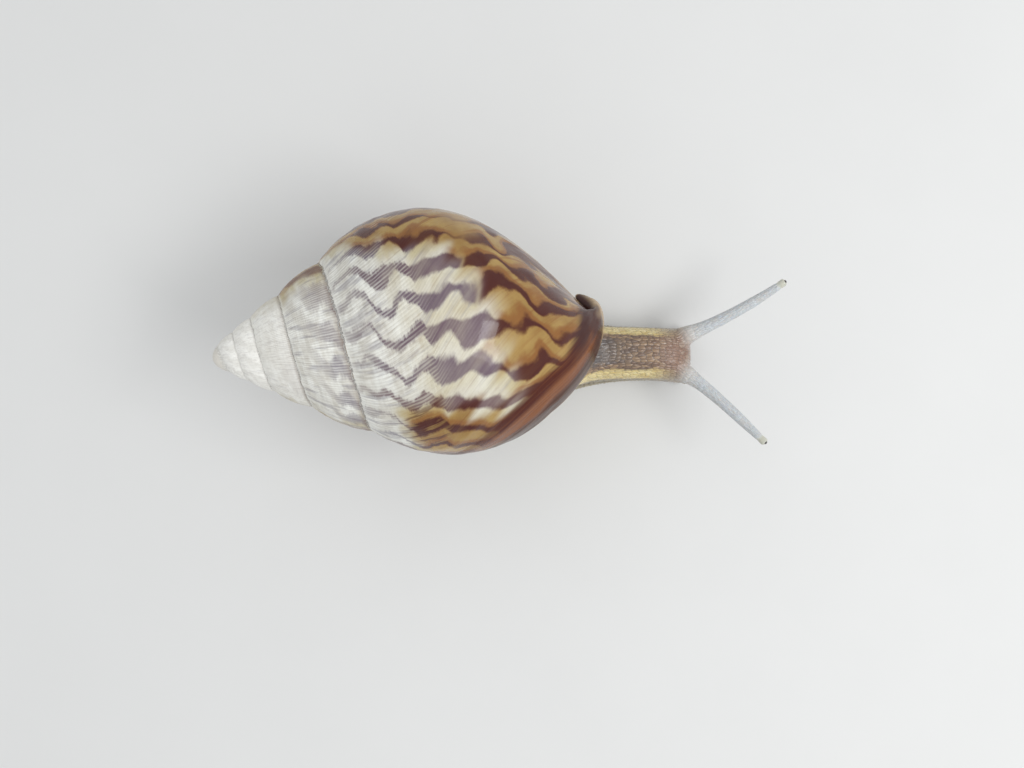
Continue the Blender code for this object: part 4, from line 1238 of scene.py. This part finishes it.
def lip_bands(g, s, at):
    """Bands behind the lip, from 0 at its edge to 1 where they end."""
    node = g.add("ShaderNodeValToRGB")
    ramp = node.color_ramp
    stops = (
        (0.00, s.lip_tan), (0.08, s.lip_dark), (0.36, s.lip_dark), (0.47, s.lip_tan),
        (0.56, s.lip_orange), (0.72, s.lip_orange), (0.84, s.varix), (1.00, s.varix),
    )
    for k, (where, shade) in enumerate(stops):
        stop = ramp.elements[k] if k < 2 else ramp.elements.new(where)
        stop.position = where
        stop.color = (*shade, 1.0)
    return g.fill(node, at)


def shell_material(s):
    """Worn pale back, polished ochre front, zigzag flames, dark lip bands and a cream rim."""
    material, g = new_material("shell_finish")
    growth, row, flames, width, polish, tan = g.numbers(
        "growth", "row", "flames", "flame_width", "polish", "tan")
    lip, age, deep, power, nose, rim = g.numbers("lip", "age", "deep", "power", "nose", "rim")
    striae, bend, lines, blotch, streak, tooth = [
        g.noise(g.vector(growth * across, row * along, seed), 1.0, detail, rough)
        for across, along, seed, detail, rough in SHELL_NOISES]
    ribs = g.math("SINE", growth * (s.ribs * 2 * math.pi) + bend * RIB_BEND) * 0.5 + 0.5
    clouds, pores = grain(g, SHELL_GRAIN)

    # flames: how close each point is to the middle of one, by their count
    worn_part = row.step(1.06, 0.94) * tan.step(0.95, 0.45)
    count = flames + (tooth - 0.5) * (worn_part * 0.14 + 0.24)
    own = g.add("ShaderNodeTexWhiteNoise", noise_dimensions="1D")
    g.feed(own.inputs["W"], g.math("FLOOR", count))
    own = Wire(g, own.outputs[0])
    loose = (striae - 0.5) * (worn_part * 0.34 + 0.08) + (own - 0.5) * 0.22

    def closeness(shift):
        """1 in the middle of a flame and 0 half way to the next, plus loose edges."""
        off = g.math("ABSOLUTE", g.math("FRACT", count - shift) - 0.5)
        return 1.0 - off * 2.0 + loose

    edge = 1.0 - width
    core = closeness(0.0).step(edge - 0.14, edge + 0.20)
    wide = closeness(0.12).step(edge - 0.44, edge + 0.04)

    # ground: bleached white, cream, then gold
    mottled = blotch.step(0.35, 0.68)
    pale = g.layered(
        s.ground_worn, (mottled, s.ground_pale), (age, s.apex),
        (striae.step(0.50, 0.70) * 0.38, s.apex), (striae.step(0.50, 0.30) * 0.22, s.seam_brown),
        (ribs.step(0.45, 0.0) * 0.16, s.seam_brown))
    cream = g.layered(
        s.ground_olive, (mottled, s.ground_cream), (striae.step(0.48, 0.30) * 0.28, s.flame_halo))
    gold = g.layered(
        s.ground_gold, (blotch.step(0.3, 0.72), s.ground_ochre),
        (streak.step(0.53, 0.70) * 0.62, s.flame_halo),
        (striae.step(0.56, 0.78) * 0.30, s.flame_halo))
    veins = streak.step(0.50, 0.66) * age.step(0.0, 0.5, 0.38, 0.10) * tan.step(0.9, 0.3)
    ground = g.layered(
        pale, (tan.step(0.0, 0.55), cream), (tan.step(0.45, 1.0), gold), (veins, s.flame_faded))

    # flames over it: purple and broken by ribs on the worn back, red-brown with a halo in front
    net = (striae * 2.0 + ribs).step(1.2, 2.1) * worn_part
    flame = g.mix(tan.step(0.35, 0.90), g.mix(own, s.flame_faded, s.flame_rust), s.flame_dark)
    spire = growth.step(0.995, 1.05)
    low_part = (row.step(0.10, 0.62, 0.55, 1.0) * spire.step(1.0, 0.0)
                + row.step(0.30, 0.80, 0.05, 0.9) * spire)
    weak = age.step(0.05, 0.62, 0.90, 0.0) * low_part * (1.0 - net * 0.42)
    strength = weak + (1.0 - weak) * tan.step(0.45, 1.0)
    halo = wide * power * tan.step(0.3, 1.0, 0.30, 0.85)
    halo_tint = g.mix(tan.step(0.2, 0.9), s.ground_worn, s.flame_halo)
    shape = core * (1.0 - spire) + wide * 0.7 * spire
    patchy = (streak * 0.6 + blotch).step(0.55, 0.95, tan.step(0.3, 0.9, 0.76, 0.90), 1.0)
    crowded = growth.step(0.31, 0.25) * row.step(1.10, 0.85) * tan.step(0.25, 0.8)
    colour = g.layered(
        ground, (halo, halo_tint), (shape * (strength * power * patchy), flame),
        (crowded * (streak.step(0.46, 0.36) * 0.55), gold),
        (crowded * (streak.step(0.49, 0.60) * 0.85), s.flame_dark))

    # lip bands, purple on the nose
    at = lip + (streak - 0.5) * 0.26
    turned = (streak * 0.10 + row).step(1.60, 1.70)
    purple = (nose * at.step(0.60, 0.80)).most(turned)
    shade = g.layered(
        lip_bands(g, s, at), (striae.step(0.42, 0.68) * 0.38, s.flame_dark),
        (striae.step(0.50, 0.30) * 0.30, s.lip_orange), (purple * 0.92, s.nose_purple))
    on_lip = at.step(1.10, 0.92) * row.step(1.00, 1.26, 0.40, 1.0) * growth.step(0.9, 0.8)

    # brown dirt and painted shade along the seam, a pale line below it, and the white mouth
    seam = row.step(0.09, 0.02) * growth.step(0.02, 0.1)
    # painted shade: the foot of each spire band, where it dips into the seam below, darkened with
    # the seam's brown
    above = row.step(0.90, 1.0) * growth.step(0.999, 1.001)
    # dark line right under the seam: dirt and painted shade in the groove together
    seam_dirt_and_shade = row.step(0.016, 0.006).most(above * 0.55) * age.step(1.0, 0.2, 0.3, 0.85)
    inside = deep.step(0.04, 0.16)
    colour = g.layered(
        colour, (on_lip, shade), (rim * striae.step(0.30, 0.62, 0.62, 1.0), s.lip_rim),
        (seam * 0.5, s.ground_pale), (seam_dirt_and_shade, s.seam_brown),
        (inside, g.mix(clouds.step(0.35, 0.7), s.mouth_white, s.mouth_blue)),
        (pores.step(0.5, 0.8) * 0.10, s.lip_dark))

    shine = polish.most(inside).most(on_lip)
    worn = 1.0 - shine
    height = ((striae * 0.65 + lines * 0.55) * (worn + 0.16) + streak * 0.35
              + ribs * (worn * 0.22 + 0.04))
    g.finish({
        "Base Color": colour,
        "Roughness": shine.step(0.0, 1.0, 0.50, 0.24) + (streak - 0.5) * 0.14,
        "Coat Weight": shine * (0.52 - on_lip * 0.38),
        "Coat Roughness": 0.10,
        "Coat IOR": 1.45,
        "Specular IOR Level": 0.10,
        "Normal": g.bump(height, SHELL_BUMP, 0.9),
    })
    return material


def skin_material(s):
    """Wet skin: dark centre, ochre beads, cream stripes, brown head and blue-grey tentacles."""
    material, g = new_material("wet_skin")
    groove, own, low, along, around, side, slit = g.numbers(
        "groove", "own", "low", "along", "around", "side", "slit")
    horn, reach, turn, tip, skirt, head = g.numbers(
        "horn", "reach", "turn", "tip", "skirt", "head")
    clouds, pores = grain(g, SKIN_GRAIN)
    x = g.fill(g.add("ShaderNodeSeparateXYZ"), g.place())
    dome_shape, joint, lot = beads(g, along, around, BEAD_LENGTH)
    lengthwise, round_it, stretch = HORN_BEADS
    horn_dome, horn_joint, horn_lot = beads(g, reach * lengthwise, turn * round_it, stretch)

    # body: warts and the joints between them
    bent = side + (clouds - 0.5) * 0.14 + (lot - 0.5) * 0.05
    inner = x.step(0.0235, 0.010) * bent.step(0.34, 0.20) * x.step(-0.026, -0.006, 0.15, 1.0)
    stripe = (bent.step(0.38, 0.50) * bent.step(1.16, 0.90) * x.step(0.0290, 0.0225)
              * x.step(-0.012, 0.004))
    flank = g.mix(own.step(0.0, 1.0, 0.2, 0.8), s.flank_grey, s.flank_sand)
    headed = g.layered(
        s.head_brown, (bent.step(0.30, 0.95), s.head_grey),
        (lot.step(0.6, 1.0) * 0.35, s.head_grey), (stripe * 0.7, s.stripe_yellow))
    wart = g.layered(
        s.wart_brown, (lot.step(0.1, 0.9), s.wart_ochre), (inner, s.centre_grey),
        (bent.step(0.92, 1.16), flank), (stripe, g.mix(lot, s.stripe_cream, s.stripe_yellow)),
        (head * 0.9, headed))
    dark = g.layered(s.groove_dark, (stripe, s.stripe_shade), (head, s.head_shade))
    joints = (joint * low.step(0.0, 1.0, 0.80, 0.30)).most(groove * low.step(0.0, 1.0, 0.0, 0.7))
    joints = joints * clouds.step(0.2, 0.6, 0.55, 0.95)

    # tentacles, painted shade in the mouth's slit, and the pores over all
    stalk = g.layered(
        s.horn_pale, (reach.step(0.12, 0.40), s.horn_blue),
        (horn_lot.step(0.45, 0.95) * 0.5, s.horn_pale), (horn_joint * 0.42, s.horn_shade),
        (tip, s.horn_tip))
    tone = pores.step(0.42, 0.72) * horn.step(0.0, 1.0, 0.16, 0.07)
    colour = g.layered(
        wart, (joints, dark), (skirt * 0.85, g.mix(clouds, s.hem_grey, s.hem_sand)),
        # the dark line along the mouth's slit is painted shade in its gap
        (horn, stalk), (slit * 0.7, s.groove_dark),
        (tone, g.mix(horn, s.groove_dark, s.horn_shade)))
    beaded = dome_shape * (1.0 - horn) + horn_dome * horn * ((1.0 - tip) * 0.7)
    height = beaded * (1.0 - skirt) + pores * 0.35
    g.finish({
        "Base Color": colour,
        "Roughness": clouds.step(0.25, 0.75, 0.20, 0.36),
        "Subsurface Weight": 0.10,
        "Subsurface Radius": (0.0009, 0.0005, 0.0003),
        "Subsurface Scale": 1.0,
        "Coat Weight": clouds.step(0.3, 0.7, 0.14, 0.04),
        "Coat Roughness": 0.15,
        "Normal": g.bump(height, SKIN_BUMP, 0.9),
    })
    return material


def mantle_material(s):
    """Moist cream-yellow flesh with ochre clouds and dark flecks, its breathing hole painted dark
    as shade.
    """
    material, g = new_material("mantle_flesh")
    clouds, pores = grain(g, MANTLE_GRAIN)
    hole = g.numbers("hole")[0]
    colour = g.layered(
        s.cream, (clouds.step(0.3, 0.7), s.ochre), (pores.step(0.5, 0.75) * 0.4, s.fleck),
        # painted shade: the hole's inside coloured near black
        (hole, s.hole))
    g.finish({
        "Base Color": colour,
        "Roughness": clouds.step(0.3, 0.7, 0.28, 0.42),
        "Coat Weight": 0.3,
        "Coat Roughness": 0.12,
        "Normal": g.bump(pores, MANTLE_BUMP, 0.8),
    })
    return material


def eye_material(s):
    """Near-black wet ball with a faint brown cloud."""
    material, g = new_material("eye_black")
    clouds, pores = grain(g, EYE_GRAIN)
    g.finish({
        "Base Color": g.mix(clouds, s.black, s.brown),
        "Roughness": pores.step(0.3, 0.7, 0.10, 0.18),
        "Coat Weight": 0.6,
        "Coat Roughness": 0.05,
    })
    return material


def floor_material(s):
    """Matt pale floor with a very faint cloud."""
    material, g = new_material("studio_floor")
    clouds, _ = grain(g, FLOOR_GRAIN)
    deeper = tuple(FLOOR_CLOUD * c for c in s.floor_colour)
    g.finish({
        "Base Color": g.mix(clouds, s.floor_colour, deeper),
        "Roughness": clouds.step(0.3, 0.7, 0.75, 0.85),
    })
    return material


# ---------------------------------------------------------------- settings
def tint(name, description, default):
    """Colour setting."""
    return FloatVectorProperty(name=name, description=description, subtype="COLOR", size=3,
                               min=0.0, max=1.0, default=default)


class SNAIL_PG_shell(PropertyGroup):
    """Relief and colours of the shell."""

    relief: FloatProperty(
        name="Relief", description="Strength of the growth ridges, 1 as in life",
        default=1.0, min=0.0, max=2.0, subtype="FACTOR")
    ribs: FloatProperty(
        name="Ribs", description="Fine growth ribs in one turn", default=200.0, min=0.0, max=600.0)
    apex: tint("Apex", "Bleached first whorls", (0.96, 0.95, 0.90))
    ground_pale: tint("Pale ground", "Worn ground, lighter", (0.79, 0.79, 0.74))
    ground_worn: tint("Worn ground", "Worn ground, darker", (0.62, 0.60, 0.54))
    ground_cream: tint("Cream ground", "Ground between worn and polished", (0.60, 0.57, 0.46))
    ground_olive: tint("Olive ground", "The same, darker", (0.50, 0.44, 0.28))
    ground_gold: tint("Gold ground", "Polished ground", (0.37, 0.24, 0.075))
    ground_ochre: tint("Ochre ground", "Polished ground, duller", (0.27, 0.155, 0.043))
    # seam colour: dirt and painted shade along the seam, also dark growth lines on the worn ground
    seam_brown: tint("Seam", "Dirt in the seam", (0.16, 0.10, 0.06))
    flame_faded: tint("Faded flame", "Flames on the worn back", (0.098, 0.078, 0.142))
    flame_rust: tint("Rusty flame", "Browner flames on the worn back", (0.108, 0.044, 0.056))
    flame_halo: tint("Flame halo", "Orange-brown beside a flame", (0.22, 0.085, 0.020))
    flame_dark: tint("Flame", "Flames on the polished front", (0.062, 0.010, 0.006))
    varix: tint("Rest band", "Dark band behind the lip", (0.070, 0.013, 0.006))
    lip_orange: tint("Lip orange", "Bright band of new shell", (0.20, 0.066, 0.018))
    lip_tan: tint("Lip tan", "Duller band of new shell", (0.11, 0.034, 0.012))
    lip_dark: tint("Lip edge", "Darkest band at the lip", (0.050, 0.020, 0.012))
    nose_purple: tint("Nose", "Purple shade of the lip's nose", (0.048, 0.016, 0.014))
    lip_rim: tint("Lip rim", "Cream line on the edge", (0.50, 0.36, 0.20))
    mouth_white: tint("Mouth", "Porcelain inside", (0.62, 0.62, 0.60))
    mouth_blue: tint("Mouth shade", "Bluish cloud inside", (0.48, 0.52, 0.56))


class SNAIL_PG_skin(PropertyGroup):
    """Fineness, relief and colours of the skin."""

    voxel: FloatProperty(
        name="Fineness", description="Edge length of the skin's mesh",
        default=0.00021, min=0.0001, max=0.001, subtype="DISTANCE", unit="LENGTH", precision=5)
    relief: FloatProperty(
        name="Relief", description="Strength of the warts, 1 as in life",
        default=1.0, min=0.0, max=2.0, subtype="FACTOR")
    wart_brown: tint("Brown wart", "Darker warts of the neck", (0.17, 0.105, 0.07))
    wart_ochre: tint("Ochre wart", "Lighter warts of the neck", (0.32, 0.21, 0.125))
    centre_grey: tint("Centre", "Dark middle of the neck", (0.11, 0.107, 0.112))
    flank_grey: tint("Grey flank", "Darker warts of the flank", (0.26, 0.23, 0.17))
    flank_sand: tint("Sandy flank", "Lighter warts of the flank", (0.42, 0.36, 0.24))
    stripe_cream: tint("Cream stripe", "Side stripes", (0.84, 0.71, 0.36))
    stripe_yellow: tint("Yellow stripe", "Side stripes, deeper", (0.64, 0.49, 0.19))
    stripe_shade: tint("Stripe joints", "Between a stripe's warts", (0.26, 0.18, 0.07))
    head_brown: tint("Head", "Middle of the head", (0.27, 0.165, 0.120))
    head_grey: tint("Head side", "Corners of the head", (0.42, 0.36, 0.29))
    head_shade: tint("Head grooves", "Between the head's warts", (0.12, 0.075, 0.055))
    # also used for the painted shade in the mouth's slit
    groove_dark: tint("Grooves", "Between the warts", (0.055, 0.040, 0.032))
    hem_grey: tint("Grey hem", "Rim of the sole, darker", (0.22, 0.19, 0.13))
    hem_sand: tint("Sandy hem", "Rim of the sole, lighter", (0.42, 0.35, 0.22))
    horn_blue: tint("Tentacle", "Blue-grey stalks", (0.54, 0.57, 0.59))
    horn_pale: tint("Tentacle base", "Pale roots of the stalks", (0.58, 0.55, 0.51))
    horn_shade: tint("Tentacle grooves", "Between the beads", (0.24, 0.255, 0.27))
    horn_tip: tint("Tentacle tip", "Translucent bulb", (0.50, 0.50, 0.42))


class SNAIL_PG_mantle(PropertyGroup):
    """Colours of the mantle collar."""

    cream: tint("Cream", "Lighter flesh", (0.58, 0.50, 0.31))
    ochre: tint("Ochre", "Deeper flesh", (0.42, 0.33, 0.17))
    fleck: tint("Fleck", "Small dark flecks", (0.20, 0.16, 0.11))
    # painted shade inside the breathing hole
    hole: tint("Hole", "Inside the breathing hole", (0.03, 0.022, 0.018))


class SNAIL_PG_eyes(PropertyGroup):
    """Colours of the eyes."""

    black: tint("Black", "Ball", (0.016, 0.015, 0.014))
    brown: tint("Brown", "Cloud in the ball", (0.050, 0.040, 0.030))


class SNAIL_PG_stage(PropertyGroup):
    """Camera, floor and lights."""

    camera_height: FloatProperty(
        name="Camera height", description="Height of the camera above the floor",
        default=0.152, min=0.1, max=1.0, subtype="DISTANCE", unit="LENGTH", precision=4)
    lens: FloatProperty(
        name="Lens", description="Focal length in millimetres",
        default=29.11, min=10.0, max=200.0)
    floor_colour: tint("Floor", "Pale floor", (0.67, 0.67, 0.66))
    sky: FloatProperty(
        name="Sky", description="Strength of the even light from all round",
        default=0.80, min=0.0, max=3.0)
    power: FloatProperty(
        name="Power", description="Strength of the soft lamps together, 1 as set up",
        default=1.0, min=0.0, max=4.0, subtype="FACTOR")


# ---------------------------------------------------------------- stage
FLOOR_HALF = 1.5
FLOOR_CLOUD = 0.96                    # brightness of the floor's faint cloud
SKY_TINT = (0.96, 0.98, 1.0, 1.0)
SENSOR = 36.0                         # width in millimetres
CLIP = (0.01, 10.0)
AIM = (0.0, 0.0, 0.02)                # all lamps point here
# soft lamps: name, place, size, watts and tint
LAMPS = (
    ("key", (0.30, -0.07, 0.36), (0.30, 0.14), 1.05, (1.0, 1.0, 1.0)),
    ("fill", (-0.35, 0.45, 0.55), (0.6, 0.6), 0.35, (1.0, 0.98, 0.95)),
    ("top", (0.0, -0.45, 0.6), (0.7, 0.5), 0.35, (1.0, 1.0, 1.0)),
)


def lamp(name, at, size, watts, shade):
    """Soft lamp aimed at the snail."""
    data = bpy.data.lights.new(name, "AREA")
    data.shape = "RECTANGLE"
    data.size = size[0]
    data.size_y = size[1]
    data.energy = watts
    data.color = shade
    obj = bpy.data.objects.new(name, data)
    obj.location = at
    obj.rotation_euler = (Vector(AIM) - Vector(at)).to_track_quat("-Z", "Y").to_euler()
    bpy.context.scene.collection.objects.link(obj)


def build_stage(s):
    """Pale floor, even sky, three soft lamps and a camera straight above."""
    half = FLOOR_HALF
    corners = [(-half, -half, 0), (half, -half, 0), (half, half, 0), (-half, half, 0)]
    mesh = bpy.data.meshes.new("studio_floor")
    mesh.from_pydata(corners, [], [(0, 1, 2, 3)])
    mesh.materials.append(floor_material(s))
    floor = bpy.data.objects.new("studio_floor", mesh)
    bpy.context.scene.collection.objects.link(floor)

    world = bpy.data.worlds.new("studio_sky")
    world.use_nodes = True
    background = world.node_tree.nodes["Background"]
    background.inputs[0].default_value = SKY_TINT
    background.inputs[1].default_value = s.sky
    bpy.context.scene.world = world

    for name, at, size, watts, shade in LAMPS:
        lamp(name, at, size, watts * s.power, shade)

    data = bpy.data.cameras.new("camera")
    data.sensor_width = SENSOR
    data.lens = s.lens
    data.clip_start, data.clip_end = CLIP
    camera = bpy.data.objects.new("camera", data)
    camera.location = (SHIFT[0] * MM, SHIFT[1] * MM, s.camera_height)
    bpy.context.scene.collection.objects.link(camera)
    bpy.context.scene.camera = camera
    bpy.context.scene.view_settings.view_transform = "Standard"


# ---------------------------------------------------------------- operators
class SNAIL_OT_shell(Operator):
    """Build the spiral shell."""

    bl_idname = "snail.shell"
    bl_label = "Shell"

    def execute(self, context):
        """Make the piece."""
        build_shell(context.scene.snail_shell)
        return {"FINISHED"}


class SNAIL_OT_mantle(Operator):
    """Build the mantle collar in the shell's mouth."""

    bl_idname = "snail.mantle"
    bl_label = "Mantle collar"

    def execute(self, context):
        """Make the piece."""
        build_mantle(context.scene.snail_mantle)
        return {"FINISHED"}


class SNAIL_OT_skin(Operator):
    """Build one skin over foot, neck, head and tentacles."""

    bl_idname = "snail.skin"
    bl_label = "Skin"

    def execute(self, context):
        """Make the piece."""
        build_skin(context.scene.snail_skin)
        return {"FINISHED"}


class SNAIL_OT_eyes(Operator):
    """Build both eyes."""

    bl_idname = "snail.eyes"
    bl_label = "Eyes"

    def execute(self, context):
        """Make the two pieces."""
        material = eye_material(context.scene.snail_eyes)
        build_eye("eye_left", material)
        build_eye("eye_right", material)
        return {"FINISHED"}


class SNAIL_OT_stage(Operator):
    """Set up the floor, the lights and the camera."""

    bl_idname = "snail.stage"
    bl_label = "Stage"

    def execute(self, context):
        """Make the stage."""
        build_stage(context.scene.snail_stage)
        return {"FINISHED"}


class SNAIL_PT_main(Panel):
    """Lists the snail's pieces and their settings."""

    bl_label = "Snail"
    bl_idname = "SNAIL_PT_main"
    bl_space_type = "VIEW_3D"
    bl_region_type = "UI"
    bl_category = "Snail"

    def draw(self, context):
        """One box for each operator with its settings below."""
        for operator, key, group in PARTS:
            box = self.layout.box()
            box.operator(operator.bl_idname)
            for name in group.__annotations__:
                box.prop(getattr(context.scene, key), name)


PARTS = (
    (SNAIL_OT_shell, "snail_shell", SNAIL_PG_shell),
    (SNAIL_OT_mantle, "snail_mantle", SNAIL_PG_mantle),
    (SNAIL_OT_skin, "snail_skin", SNAIL_PG_skin),
    (SNAIL_OT_eyes, "snail_eyes", SNAIL_PG_eyes),
    (SNAIL_OT_stage, "snail_stage", SNAIL_PG_stage),
)


def register():
    """Add the classes and the scene's settings."""
    for operator, key, group in PARTS:
        bpy.utils.register_class(group)
        bpy.utils.register_class(operator)
        setattr(bpy.types.Scene, key, PointerProperty(type=group))
    bpy.utils.register_class(SNAIL_PT_main)


def unregister():
    """Take away what register added."""
    bpy.utils.unregister_class(SNAIL_PT_main)
    for operator, key, group in reversed(PARTS):
        delattr(bpy.types.Scene, key)
        bpy.utils.unregister_class(operator)
        bpy.utils.unregister_class(group)


def main():
    """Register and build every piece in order."""
    register()
    bpy.ops.snail.shell()
    bpy.ops.snail.mantle()
    bpy.ops.snail.skin()
    bpy.ops.snail.eyes()
    bpy.ops.snail.stage()


if __name__ == "__main__":
    main()
